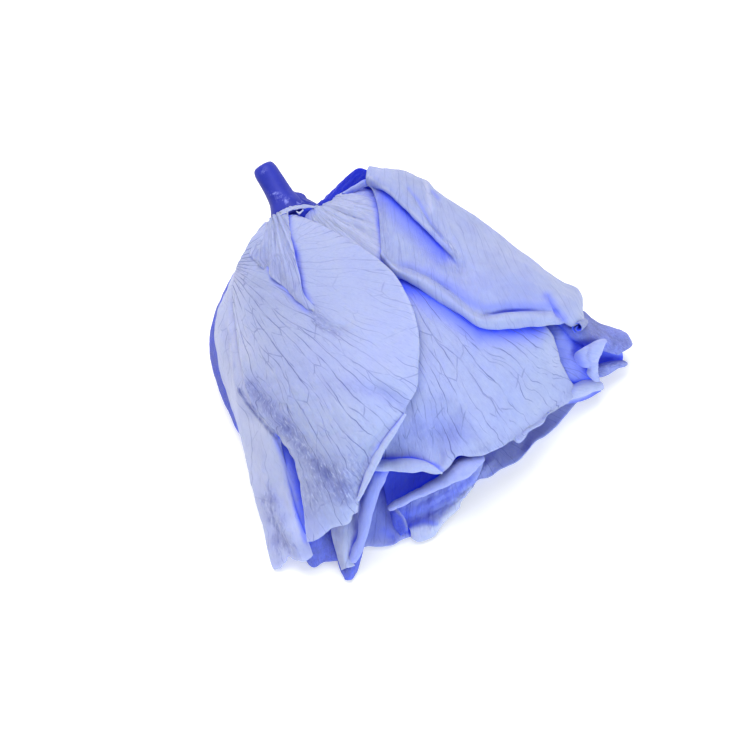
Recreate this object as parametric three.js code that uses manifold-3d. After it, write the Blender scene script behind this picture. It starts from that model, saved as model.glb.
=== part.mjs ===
// A preserved rose head with a short stub of stem, lying on its side with the mouth to the front.
// Lengths are millimetres, +Z is up and z = 0 is the surface that the flower lies on.
import * as THREE from 'three';
import { mergeVertices } from 'three/addons/utils/BufferGeometryUtils.js';
import Module from 'manifold-3d';

const wasm = await Module();
wasm.setup();
const { Manifold } = wasm;

// Driving dimensions.
const PETAL_THICKNESS = 0.7;
const STEM_DIAMETER = 3.9;
const STEM_LENGTH = 9.6;
// How far the stub of stem stands from the bloom's axis.
const STEM_ASIDE = [-2.1, 1.4, 0.2];
const RECEPTACLE_HEIGHT = 27;
const SEAM = 0.3;
const BLOOM_TILT = THREE.MathUtils.degToRad(20.6);
const BLOOM_HEADING = THREE.MathUtils.degToRad(-57.2);
const GROUND = 0.35;
const COARSENESS = 0.05;
// Where the flower's resting point lies from its receptacle.
const REST = new THREE.Vector3(14, -25, 0);
// The petals stay this clear of the table, apart from a flat spot at the resting point and three
// low points round the weight, given as [x, y].
const CLEARANCE = 0.6;
const LOW_POINTS = [[6.3, -39.7], [33.4, -16.9], [6.7, -9]];

// The hand-laid petals are set out on a drawing at six times life size, 750 by 750 units, seen from
// 65 degrees above the table. A petal is a list of rows from base to margin, and a point of a row is
// [x, y, height]: its place on the drawing, x right and y down, and its height over the table in mm.
const DRAWING = {
  scale: 6,
  middle: 375,
  receptacle: [303, 214],
  elevation: THREE.MathUtils.degToRad(65),
  eyeDistance: 900,
  datumHeight: 30,
};

const PETALS = {
  // The large front petal, from the stem down to its ragged tip.
  front: [
    [[268, 221, 28], [280, 216, 30.5], [292, 212, 31]],
    [[250, 245, 27], [275, 240, 32], [300, 232, 34], [325, 227, 33.5]],
    [[238, 270, 26], [270, 265, 32.5], [315, 258, 36], [365, 250, 36]],
    [[235, 300, 24.5], [275, 300, 33], [335, 290, 37.5], [396, 277, 37]],
    [[240, 340, 24], [285, 342, 33], [350, 335, 38], [417, 325, 36.5]],
    [[247, 385, 21.5], [290, 390, 30.5], [355, 385, 36], [418, 375, 34.5]],
    [[262, 421, 19.5], [300, 425, 27.5], [355, 425, 32.5], [406, 413, 31]],
    [[280, 445, 18.5], [310, 455, 23.5], [350, 458, 28], [383, 444, 27.5]],
    [[295, 490, 15.5], [318, 495, 18.5], [345, 495, 21.5], [366, 482, 22.5]],
    [[308, 541, 11.5], [320, 537, 13], [333, 526, 15], [350, 522, 16]],
  ],
  // The crumpled fold at the front petal's base.
  crumple: [
    [[262, 227, 27.8], [275, 220, 30.5], [287, 216, 32]],
    [[249, 246, 27.8], [270, 240, 32.5], [291, 238, 34.2]],
    [[251, 256, 29.5], [275, 258, 33.8], [296, 255, 35.8]],
    [[278, 281, 33.8], [288, 278, 35.6], [300, 276, 36.6]],
    [[294, 297, 35.4], [299, 296, 36.6], [303, 293, 36.9]],
    [[311, 313, 36.6], [316, 312, 37.3], [320, 309, 37.2]],
  ],
  // The left petal that wraps the side and runs down to the table.
  left: [
    [[272, 226, 20], [268, 226, 25], [274, 224, 27], [282, 222, 28]],
    [[252, 256, 14], [246, 252, 21], [254, 250, 26], [266, 246, 28]],
    [[232, 296, 9], [224, 290, 17], [236, 284, 24], [254, 282, 27]],
    [[224, 340, 6], [215, 336, 14], [228, 335, 21], [256, 335, 25]],
    [[232, 390, 4], [225, 385, 11], [238, 388, 17.5], [266, 390, 21.5]],
    [[243, 430, 3], [239, 432, 8], [252, 430, 13.5], [280, 434, 16.5]],
    [[254, 475, 2.5], [250, 470, 5.5], [264, 468, 10], [287, 466, 13]],
    [[263, 520, 1.5], [260, 512, 3], [276, 510, 6.5], [297, 505, 9.5]],
    [[275, 570, 0.5], [271, 564, 0.8], [287, 560, 3], [311, 556, 6]],
  ],
  // A petal behind the left one, seen as a sliver.
  farLeft: [
    [[270, 236, 16], [264, 234, 21], [266, 232, 24]],
    [[246, 278, 7], [228, 288, 12], [228, 286, 18]],
    [[238, 330, 3], [212, 330, 8], [218, 326, 15]],
    [[240, 372, 1.5], [213, 368, 5.5], [221, 366, 11]],
    [[250, 410, 1], [228, 408, 3.5], [236, 412, 8]],
    [[262, 450, 0.8], [246, 446, 2], [254, 448, 5]],
  ],
  // The right-hand front petal, with veins that fan to the lower right.
  right: [
    [[298, 232, 29.5], [308, 222, 30.5], [318, 209, 30.5]],
    [[322, 270, 33], [342, 245, 34.3], [362, 231, 34]],
    [[340, 320, 34], [375, 290, 35], [400, 262, 34.8], [420, 252, 33.5]],
    [[352, 370, 33], [400, 325, 34.5], [440, 295, 33.5], [475, 280, 31]],
    [[358, 410, 30], [405, 370, 33], [445, 345, 32.3], [485, 325, 29.5], [520, 308, 25]],
    [[362, 440, 26], [405, 415, 27.5], [440, 396, 29.5], [485, 372, 27.5], [525, 350, 24], [551, 333, 20.5]],
    [[366, 456, 22], [410, 440, 23], [445, 430, 22.5], [471, 420, 23.5], [510, 403, 20.5], [566, 375, 12]],
    [[372, 463, 19.5], [410, 464, 20], [438, 471, 18.5], [456, 456, 19], [484, 452, 17], [516, 438, 13.5],
      [545, 421, 10], [571, 398, 6.5]],
  ],
  // The upper right petal's front face, from its straight left edge to the right end.
  upper: [
    [[380, 259, 35.5], [380, 240, 35.5], [379, 212, 34.5], [369, 183, 31.5]],
    [[398, 275, 36.2], [395, 240, 36], [392, 215, 34], [385, 190, 30]],
    [[420, 287, 36], [418, 250, 35.5], [415, 222, 33], [412, 195, 28.5]],
    [[447, 304, 35], [450, 265, 34], [452, 235, 31.5], [450, 210, 27]],
    [[480, 325, 32.5], [482, 285, 32], [486, 260, 28.5], [480, 228, 22]],
    [[515, 326, 28.5], [518, 300, 28.5], [525, 272, 24], [522, 256, 18]],
    [[548, 323, 24], [550, 303, 23.5], [556, 290, 19.5], [560, 288, 13]],
    [[563, 322, 21], [572, 310, 18], [580, 305, 13], [581, 304, 9]],
  ],
  // The same petal's outer flap, folded forward along the top.
  flap: [
    [[368, 176, 34], [367, 170, 33.5], [372, 168, 30.5], [376, 182, 24]],
    [[385, 191, 36], [390, 180, 34.5], [395, 173, 31], [396, 178, 26], [398, 196, 20.5]],
    [[410, 213, 37.3], [415, 197, 35], [419, 178, 29.5], [420, 186, 24], [422, 208, 16.5]],
    [[430, 231, 37], [436, 212, 34.5], [440, 196, 28.5], [444, 204, 22], [446, 230, 12.5]],
    [[461, 263, 35], [468, 238, 31.5], [470, 214, 25], [474, 225, 17.5], [476, 250, 8]],
    [[500, 290, 29.6], [508, 262, 27.5], [508, 241, 20.5], [510, 252, 13], [512, 270, 5.5]],
    [[535, 305, 25], [540, 285, 22.5], [545, 271, 16.5], [545, 280, 9], [545, 294, 4]],
    [[556, 312, 21.8], [566, 298, 18], [575, 291, 12.5], [570, 300, 6]],
    [[566, 322, 19], [578, 312, 16], [583, 314, 10], [578, 318, 5]],
  ],
  // The hood behind the top, where that petal comes up from the receptacle.
  hood: [
    [[306, 222, 27], [308, 218, 26], [311, 214, 24]],
    [[325, 207, 27.5], [328, 199, 27.5], [333, 190, 26.5]],
    [[345, 200, 28], [345, 188, 29], [347, 177, 29.5]],
    [[362, 196, 29], [360, 180, 31], [359, 169, 32]],
    [[380, 200, 29], [376, 185, 31.5], [370, 171, 32.5]],
  ],
  // The gathered petal between the front petal and the upper one.
  gathered: [
    [[306, 222, 29], [312, 213, 28.5], [318, 208, 27.5], [322, 209, 24]],
    [[330, 240, 32.5], [345, 222, 33.3], [352, 205, 32], [348, 191, 28]],
    [[360, 262, 34], [378, 240, 34.3], [388, 212, 33], [385, 190, 29]],
    [[395, 290, 34], [415, 262, 34], [430, 230, 31.5], [430, 205, 26.5]],
  ],
  // Inner petals seen in the mouth.
  rolledLip: [
    [[392, 400, 13], [380, 450, 7.5], [385, 490, 8.5], [388, 506, 9.8], [392, 509, 9.2], [394, 510, 8]],
    [[400, 400, 13], [404, 440, 7.5], [405, 478, 8.5], [404, 496, 10.8], [408, 500, 10.8], [408, 503, 9.5]],
    [[408, 402, 13], [420, 430, 8], [424, 465, 9.5], [422, 486, 12.2], [426, 492, 12.4], [426, 497, 11]],
    [[414, 402, 13], [434, 420, 8.5], [443, 450, 10.5], [443, 473, 14], [444, 482, 14], [444, 488, 12.2]],
    [[418, 402, 13], [444, 415, 9], [459, 440, 11], [458, 461, 15], [460, 470, 15], [459, 481, 12.5]],
    [[420, 400, 13], [452, 408, 9], [474, 430, 10.5], [478, 457, 14], [480, 460, 14], [478, 466, 12.5]],
  ],
  lowerLip: [
    [[360, 420, 1.2], [400, 405, 1.2], [440, 390, 1.2]],
    [[392, 500, 5], [420, 488, 5.5], [445, 478, 6], [470, 462, 5.5]],
    [[398, 512, 4], [420, 503, 4.5], [442, 493, 5], [464, 482, 4.5]],
    [[404, 522, 2.5], [422, 515, 3], [440, 510, 3.2], [461, 498, 3]],
    [[410, 531, 2.6], [420, 526, 3], [432, 527, 3], [443, 520, 2.8], [459, 506, 2.6]],
    [[411, 538, 1.2], [420, 541, 1], [432, 537, 1], [441, 528, 1.2], [455, 512, 1.6], [474, 485, 2.4]],
  ],
  lowerLeftLip: [
    [[340, 420, 1.2], [370, 410, 1.2], [400, 400, 1.2]],
    [[362, 500, 4.5], [385, 490, 4], [405, 498, 3.5]],
    [[364, 525, 3], [385, 520, 2.5], [404, 522, 2.2]],
    [[366, 547, 1.2], [388, 546, 1], [409, 535, 1.4]],
  ],
  lowerLeftTip: [
    [[290, 430, 1.5], [330, 420, 1.2]],
    [[300, 520, 7], [325, 510, 7]],
    [[306, 545, 4], [322, 538, 4.5], [334, 530, 5]],
    [[313, 567, 0.8], [325, 562, 1], [338, 559, 1.5]],
  ],
  // A petal rolled into a double tube that stands out at the lower left.
  doubleRoll: [
    [[330, 420, 17], [345, 415, 20], [360, 415, 20.5], [375, 415, 19]],
    [[340, 470, 14], [352, 468, 17], [366, 470, 17], [378, 471, 17.5], [388, 472, 15]],
    [[338, 500, 12], [348, 498, 15], [360, 500, 14.3], [369, 499, 16], [379, 500, 13]],
    [[333, 528, 8], [343, 524, 11.5], [357, 522, 9.8], [364, 522, 12.5], [371, 522, 9.5]],
    [[335, 545, 5], [342, 545, 8.3], [351, 545, 6.2], [356, 543, 8.8], [361, 543, 6]],
    [[338, 562, 2.5], [345, 562, 5.3], [351, 560, 3.8], [354, 557, 5], [357, 560, 3]],
    [[342, 573, 0.8], [346, 576, 2.2], [349, 577, 1.5], [353, 573, 2.2], [356, 570, 0.8]],
  ],
  // The petal under the right-hand one, lying on the table.
  underRight: [
    [[316, 262, 14], [330, 250, 15], [345, 240, 17]],
    [[340, 330, 3], [380, 300, 4], [420, 270, 9]],
    [[400, 400, 1.2], [450, 365, 1.2], [510, 320, 6]],
    [[450, 440, 1.2], [500, 410, 1.2], [560, 365, 3]],
    [[470, 470, 1], [510, 450, 0.8], [550, 422, 0.8], [580, 395, 2.5]],
    [[477, 481, 1.2], [500, 470, 1], [520, 459, 1], [545, 436, 1.2], [570, 411, 1.6], [592, 397, 2.5]],
  ],
  // The frilled petals at the right end.
  frill: [
    [[500, 310, 18], [510, 340, 12], [520, 370, 8]],
    [[545, 322, 18.5], [545, 350, 13], [555, 385, 8]],
    [[562, 325, 17.5], [565, 345, 12], [572, 382, 7]],
    [[578, 337, 16], [578, 352, 10.5], [586, 381, 6]],
    [[592, 343, 14.5], [591, 352, 11.5], [597, 381, 6.2]],
    [[603, 344, 14], [602, 356, 12.5], [600, 379, 7.8]],
    [[600, 343, 15.6], [595, 352, 14.6], [596, 374, 10.4]],
    [[591, 347, 16.2], [584, 357, 15], [589, 371, 11.6]],
  ],
  rightEnd: [
    [[520, 322, 18], [525, 306, 18], [530, 292, 13]],
    [[563, 326, 18.5], [572, 314, 15.5], [583, 316, 9], [580, 322, 5]],
    [[585, 335, 16], [592, 327, 13], [600, 324, 8], [598, 330, 4]],
    [[603, 344, 13], [611, 334, 10.5], [618, 330, 6.5], [614, 336, 3]],
    [[624, 352, 8], [629, 346, 6.5], [630, 340, 5], [625, 344, 2.5]],
  ],
  rightEndRoll: [
    [[560, 340, 5], [560, 365, 2.5], [562, 380, 2.5]],
    [[598, 350, 5], [598, 374, 2.5], [599, 379, 3], [600, 373, 6.3], [600, 365, 6]],
    [[610, 347, 4.5], [610, 370, 2], [612, 375, 2.5], [612, 369, 5.6], [611, 361, 5.2]],
    [[624, 351, 3.5], [622, 366, 1.6], [624, 370, 2], [627, 367, 4.4], [625, 361, 4.4]],
  ],
  cornerRoll: [
    [[540, 405, 5], [545, 395, 9], [545, 385, 10]],
    [[567, 403, 4], [568, 394, 6.8], [570, 382, 7.2]],
    [[582, 400, 3.4], [584, 390, 6], [585, 382, 5.6]],
    [[596, 394, 3.8], [600, 389, 5.2], [596, 382, 5]],
  ],
};

// The widest petals, which take more faces.
const FINE_PETALS = new Set(['front', 'right', 'upper', 'flap', 'left', 'doubleRoll']);

// The dark remnant of a sepal that lies along the foot of the petals.
const SEPAL = [
  [[282, 209, 27.5], [287, 200, 29.5], [290, 194, 28]],
  [[298, 208, 28.5], [301, 202, 29.5], [303, 197, 28.3]],
  [[309, 207, 28.8], [311, 205, 29.2], [312, 203, 28.6]],
  [[317, 208, 28.8], [318, 207, 29], [319, 206, 28.8]],
];

// Petals laid by formula round the bloom's axis. Fullness is their depth as a share of their width.
const BACK_PETALS = [
  { angle: 8, baseWidth: 0.75, spread: 50, reach: 27, radius: 20, flare: -2, fullness: 0.8 },
  { angle: 168, baseWidth: 0.7, spread: 42, reach: 42, radius: 20.5, flare: 1, fullness: 0.8 },
  { angle: 205, baseWidth: 0.7, spread: 52, reach: 47, radius: 22, flare: 3, fullness: 0.92 },
  { angle: 262, baseWidth: 0.7, spread: 54, reach: 46, radius: 22.5, flare: 3, fullness: 1.02 },
  { angle: 320, baseWidth: 0.7, spread: 54, reach: 47, radius: 22.5, flare: 3, fullness: 0.92 },
];
const INNER_PETALS = {
  count: 10, turn: 137.5, firstRadius: 14, lastRadius: 5, firstReach: 42, lastReach: 39, fullness: 0.75,
};

const AXIS = new THREE.Vector3(
  Math.cos(BLOOM_TILT) * Math.cos(BLOOM_HEADING),
  Math.cos(BLOOM_TILT) * Math.sin(BLOOM_HEADING),
  -Math.sin(BLOOM_TILT),
);
const ACROSS = new THREE.Vector3(-Math.sin(BLOOM_HEADING), Math.cos(BLOOM_HEADING), 0);
const UPWARD = new THREE.Vector3().crossVectors(AXIS, ACROSS);

// The point of space that the drawing shows at x, y, at the given height.
function place([x, y, height]) {
  const { scale, middle, receptacle, elevation, eyeDistance, datumHeight } = DRAWING;
  const middleRight = (middle - receptacle[0]) / scale;
  const middleUp = (receptacle[1] - middle) / scale;
  const right = (x - middle) / scale;
  const up = (middle - y) / scale;
  const sine = Math.sin(elevation);
  const cosine = Math.cos(elevation);
  const depth = (height - datumHeight - (middleUp + up) * cosine) / (sine - up * cosine / eyeDistance);
  const shrink = 1 - depth / eyeDistance;
  return new THREE.Vector3(
    middleRight + right * shrink,
    (middleUp + up * shrink) * sine - depth * cosine,
    height,
  );
}

// The point at a distance along the bloom's axis, an angle round it and a radius from it.
function aroundAxis(along, degrees, radius, fullness) {
  const angle = THREE.MathUtils.degToRad(degrees);
  return new THREE.Vector3(0, 0, RECEPTACLE_HEIGHT)
    .addScaledVector(AXIS, along)
    .addScaledVector(ACROSS, radius * Math.cos(angle))
    .addScaledVector(UPWARD, radius * fullness * Math.sin(angle));
}

function resample(points, count) {
  const curve = new THREE.CatmullRomCurve3(points, false, 'centripetal');
  return Array.from({ length: count + 1 }, (_, i) => curve.getPoint(i / count));
}

function resampleEvenly(points, count) {
  const curve = new THREE.CatmullRomCurve3(points, false, 'centripetal');
  curve.arcLengthDivisions = 60;
  return curve.getSpacedPoints(count);
}

// A grid of points from rows of unlike length, with columns that run from base to margin.
function gridFromRows(rows, across, along) {
  const evenRows = rows.map((row) => resampleEvenly(row.map(place), across));
  const columns = [];
  for (let i = 0; i <= across; i += 1) {
    columns.push(resample(evenRows.map((row) => row[i]), along));
  }
  return columns;
}

function gridNormal(grid, i, j) {
  const last = grid.length - 1;
  const end = grid[0].length - 1;
  const acrossStep = grid[Math.min(i + 1, last)][j].clone().sub(grid[Math.max(i - 1, 0)][j]);
  const alongStep = grid[i][Math.min(j + 1, end)].clone().sub(grid[i][Math.max(j - 1, 0)]);
  return acrossStep.cross(alongStep).normalize();
}

// A blade of even thickness on a grid of points, closed round its edge and never below the table.
function blade(laidGrid, thickness = PETAL_THICKNESS) {
  const grid = laidGrid.map((column) => column.map((p) => p.clone().setZ(Math.max(p.z, GROUND))));
  const across = grid.length;
  const along = grid[0].length;
  const vertices = [];
  const triangles = [];
  for (const side of [0.5, -0.5]) {
    for (let i = 0; i < across; i += 1) {
      for (let j = 0; j < along; j += 1) {
        const point = grid[i][j].clone().addScaledVector(gridNormal(grid, i, j), side * thickness);
        vertices.push(point.x, point.y, Math.max(point.z, 0));
      }
    }
  }
  const top = (i, j) => i * along + j;
  const bottom = (i, j) => across * along + i * along + j;
  for (let i = 0; i < across - 1; i += 1) {
    for (let j = 0; j < along - 1; j += 1) {
      triangles.push(top(i, j), top(i + 1, j), top(i + 1, j + 1));
      triangles.push(top(i, j), top(i + 1, j + 1), top(i, j + 1));
      triangles.push(bottom(i, j), bottom(i + 1, j + 1), bottom(i + 1, j));
      triangles.push(bottom(i, j), bottom(i, j + 1), bottom(i + 1, j + 1));
    }
  }
  const wall = (a, b) => {
    triangles.push(top(...a), bottom(...a), bottom(...b));
    triangles.push(top(...a), bottom(...b), top(...b));
  };
  for (let i = 0; i < across - 1; i += 1) {
    wall([i, 0], [i + 1, 0]);
    wall([i + 1, along - 1], [i, along - 1]);
  }
  for (let j = 0; j < along - 1; j += 1) {
    wall([0, j + 1], [0, j]);
    wall([across - 1, j], [across - 1, j + 1]);
  }
  return toManifold(vertices, triangles);
}

function toManifold(vertices, triangles) {
  return new Manifold(new wasm.Mesh({
    numProp: 3,
    vertProperties: Float32Array.from(vertices),
    triVerts: Uint32Array.from(triangles),
  }));
}

function smooth(value, low, high) {
  return THREE.MathUtils.smoothstep(value, low, high);
}

// A cupped petal round the axis, with a rounded tip and a margin that flares out.
function cuppedPetal(petal, across, along) {
  const { angle, spread, reach, radius, flare, fullness, baseWidth = 0.35 } = petal;
  const grid = [];
  for (let i = 0; i <= across; i += 1) {
    const side = (2 * i) / across - 1;
    const column = [];
    for (let j = 0; j <= along; j += 1) {
      const rise = j / along;
      const width = baseWidth + (1 - baseWidth) * smooth(rise, 0, 0.6);
      const length = reach * rise * (1 - 0.14 * Math.abs(side) ** 3);
      const bulge = 4 + (radius - 4) * Math.sin(Math.min(rise * 1.9, 1) * Math.PI / 2);
      const lip = flare * smooth(rise, 0.65, 1);
      column.push(aroundAxis(2 + length, angle + spread * width * side, bulge + lip + 0.8 * side, fullness));
    }
    grid.push(column);
  }
  return blade(grid);
}

function innerPetals() {
  const { count, turn, firstRadius, lastRadius, firstReach, lastReach, fullness } = INNER_PETALS;
  return Array.from({ length: count }, (_, k) => {
    const inward = k / (count - 1);
    return cuppedPetal({
      angle: 40 + k * turn,
      spread: THREE.MathUtils.lerp(55, 95, inward),
      reach: THREE.MathUtils.lerp(firstReach, lastReach, inward) - 2,
      radius: THREE.MathUtils.lerp(firstRadius, lastRadius, inward),
      flare: THREE.MathUtils.lerp(0.5, -1.5, inward),
      fullness,
    }, 5, 4);
  });
}

// A solid of revolution about the bloom's axis, from [distance along, radius] points.
function turnedOnAxis(profile, sides) {
  const outline = profile.map(([along, radius]) => new THREE.Vector2(radius, along));
  const geometry = new THREE.LatheGeometry(outline, sides);
  geometry.applyMatrix4(new THREE.Matrix4().makeBasis(ACROSS.clone().multiplyScalar(-1), AXIS, UPWARD));
  geometry.translate(0, 0, RECEPTACLE_HEIGHT);
  return fromGeometry(geometry);
}

function fromGeometry(geometry) {
  geometry.deleteAttribute('normal');
  geometry.deleteAttribute('uv');
  const merged = mergeVertices(geometry, 1e-4);
  const triangles = [];
  for (let i = 0; i < merged.index.count; i += 3) {
    const [a, b, c] = [0, 1, 2].map((k) => merged.index.getX(i + k));
    if (a !== b && b !== c && a !== c) triangles.push(a, b, c);
  }
  return toManifold(merged.attributes.position.array, triangles);
}

// The bud's dense heart, which the petals grow out of.
function heart() {
  return turnedOnAxis([
    [0.6, 0], [0.6, 4.6], [3, 6.2], [8, 7], [18, 6.6], [28, 5], [34, 2.6], [35.5, 0],
  ], 18);
}

// The stub of stem, the calyx cup and the sepal remnant, grown by the given margin.
function stemSolid(margin = 0) {
  const radius = STEM_DIAMETER / 2 + margin;
  const sepal = blade(gridFromRows(SEPAL, 3, 5), PETAL_THICKNESS + 2 * margin);
  const stub = turnedOnAxis([
    [-STEM_LENGTH - margin, 0], [-STEM_LENGTH - margin, radius * 0.72], [-STEM_LENGTH + 0.7, radius],
    [-5, radius], [-2.6, radius + 0.5], [-0.9, radius + 1.6], [0.2, radius + 1.9],
    [0.3 + margin, radius + 1.2], [0.3 + margin, 0],
  ], 20);
  return sepal.add(stub.translate(STEM_ASIDE));
}

function largestBody(solid) {
  const bodies = solid.decompose();
  return bodies.reduce((best, body) => (body.volume() > best.volume() ? body : best));
}

function bloomSolid() {
  const handLaid = Object.entries(PETALS).map(([name, rows]) => {
    const [across, along] = FINE_PETALS.has(name) ? [6, 8] : [5, 6];
    return blade(gridFromRows(rows, across, along));
  });
  const behind = BACK_PETALS.map((petal) => cuppedPetal(petal, 5, 5));
  const whole = Manifold.union([heart(), ...handLaid, ...behind, ...innerPetals()]);
  return largestBody(whole.subtract(stemSolid(SEAM)).simplify(COARSENESS));
}

// Lifts the underside clear of the table, apart from the flat spot and the low points.
function settle(solid) {
  const { vertProperties, triVerts } = solid.getMesh();
  const points = [];
  for (let i = 0; i < vertProperties.length; i += 3) {
    points.push(new THREE.Vector3(...vertProperties.slice(i, i + 3)));
  }
  const faces = [];
  for (let i = 0; i < triVerts.length; i += 3) {
    faces.push([points[triVerts[i]], points[triVerts[i + 1]], points[triVerts[i + 2]]]);
  }
  const under = faces.find((face) => (
    face.every((p) => p.z < 0.01) && new THREE.Triangle(...face).containsPoint(REST)
  ));
  const lowest = LOW_POINTS.map(([x, y]) => {
    const spot = new THREE.Vector3(x, y, 0);
    return points.reduce((best, p) => (p.distanceTo(spot) < best.distanceTo(spot) ? p : best));
  });
  return solid.warp((vertex) => {
    const here = new THREE.Vector3(...vertex);
    const touches = [...under, ...lowest].some((p) => p.distanceTo(here) < 0.001);
    vertex[2] = touches ? 0 : here.z + CLEARANCE * (1 - smooth(here.z, 0, 8));
  });
}

function toMesh(name, solid, material) {
  const { vertProperties, triVerts } = solid.getMesh();
  const geometry = new THREE.BufferGeometry();
  geometry.setAttribute('position', new THREE.BufferAttribute(Float32Array.from(vertProperties), 3));
  geometry.setIndex(Array.from(triVerts));
  geometry.translate(-REST.x, -REST.y, 0);
  const mesh = new THREE.Mesh(geometry, material);
  mesh.name = name;
  return mesh;
}

const petalMaterial = new THREE.MeshStandardMaterial({ color: 0xaebcf0, roughness: 0.75, metalness: 0 });
const stemMaterial = new THREE.MeshStandardMaterial({ color: 0x4148b4, roughness: 0.6, metalness: 0 });

const rose = new THREE.Group();
rose.name = 'preserved_rose';
rose.add(toMesh('bloom', settle(bloomSolid()), petalMaterial));
rose.add(toMesh('stem', stemSolid(), stemMaterial));

export default rose;
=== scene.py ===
"""A preserved rose head, dyed periwinkle blue, lying on its side on a pale table."""
import math

import bpy
import numpy as np
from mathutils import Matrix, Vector
from mathutils.bvhtree import BVHTree


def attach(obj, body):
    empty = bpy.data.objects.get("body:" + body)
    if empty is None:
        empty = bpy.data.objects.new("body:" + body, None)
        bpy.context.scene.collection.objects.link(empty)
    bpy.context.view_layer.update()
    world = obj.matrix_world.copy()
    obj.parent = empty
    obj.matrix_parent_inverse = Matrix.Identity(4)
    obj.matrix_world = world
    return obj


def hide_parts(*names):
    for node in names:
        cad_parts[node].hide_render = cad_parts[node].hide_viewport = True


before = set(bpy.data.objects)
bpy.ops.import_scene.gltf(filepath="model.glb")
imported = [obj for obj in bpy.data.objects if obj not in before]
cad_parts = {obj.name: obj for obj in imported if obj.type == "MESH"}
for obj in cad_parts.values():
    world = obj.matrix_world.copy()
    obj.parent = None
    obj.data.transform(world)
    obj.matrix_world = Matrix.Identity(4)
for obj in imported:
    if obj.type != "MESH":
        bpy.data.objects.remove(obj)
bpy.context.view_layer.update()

# Lengths are in mm from here on, and angles in degrees unless a name is set in radians.
MM = 0.001
DETAIL = 0.86
PETAL_THICKNESS = 0.28
STEM_DIAMETER = 3.9
STEM_LENGTH = 9.6
STEM_ASIDE = np.array([-2.1, 1.4, 0.2])
SEPAL_THICKNESS = 0.5
RECEPTACLE_HEIGHT = 27.0
BLOOM_TILT = math.radians(20.6)
BLOOM_HEADING = math.radians(-57.2)
GROUND = 0.2
VEINS_PER_RADIAN = 7.0
VEIN_HALF_WIDTH = 0.1
GOLDEN_ANGLE = 137.5
# Painted shade where petals lie close, deepening their blue like ambient occlusion: rays cast, their reach, grid
# step and strength.
RAYS = 32
NEAR = 9.0
SKIP = 4
OCCLUSION_SHADE_STRENGTH = 0.78
TUCK_REACH = 6.5
TUCK_DEPTH = 0.7
# Where the flower's resting point, the origin, lies from its receptacle.
REST = np.array([14.0, -25.0, 0.0])

SKIN = (0.342, 0.385, 0.6, 1)
# Paler skin, for paler margins and for painted highlights.
PALE_AND_HIGHLIGHT_SKIN = (0.45, 0.48, 0.67, 1)
MOTTLED_SKIN = (0.30, 0.35, 0.72, 1)
# Deep blue for dye and for painted shade where petals lie close, and the deepest blue past it.
DEEP_DYE_AND_SHADE_BLUE = (0.05, 0.098, 0.93, 1)
DEEPEST_DYE_AND_SHADE_BLUE = (0.003, 0.014, 0.46, 1)
# Grey-blue of painted shade.
PAINTED_SHADE_GREY = (0.11, 0.13, 0.36, 1)
STREAKED = (0.20, 0.24, 0.58, 1)
# Painted shade for the crinkles' furrows and painted highlight for their ridges.
FURROW_SHADE = (0.12, 0.14, 0.38, 1)
RIDGE_HIGHLIGHT = (0.5, 0.56, 0.8, 1)
VEINED = (0.085, 0.105, 0.31, 1)
STEM_DARK = (0.013, 0.022, 0.29, 1)
STEM_LIGHT = (0.026, 0.036, 0.38, 1)
# Pale blue of the stem's scuffs and its painted highlight.
SCUFF_AND_HIGHLIGHT_BLUE = (0.22, 0.25, 0.72, 1)
TABLE = (0.93, 0.92, 0.875, 1)
WHITE = (1.0, 1.0, 1.0, 1)

# The visible petals are set out on a drawing at six times life size, 750 by 750 units, seen from
# 65 degrees above the table. A row's points are [x, y, height]: a place on the drawing, x right and
# y down, and the height over the table in mm. Rows run from a petal's base to its margin.
SCALE = 6.0
MIDDLE = 375.0
RECEPTACLE = (303.0, 214.0)
ELEVATION = math.radians(65)
EYE_DISTANCE = 900.0
DATUM_HEIGHT = 30.0

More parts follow.
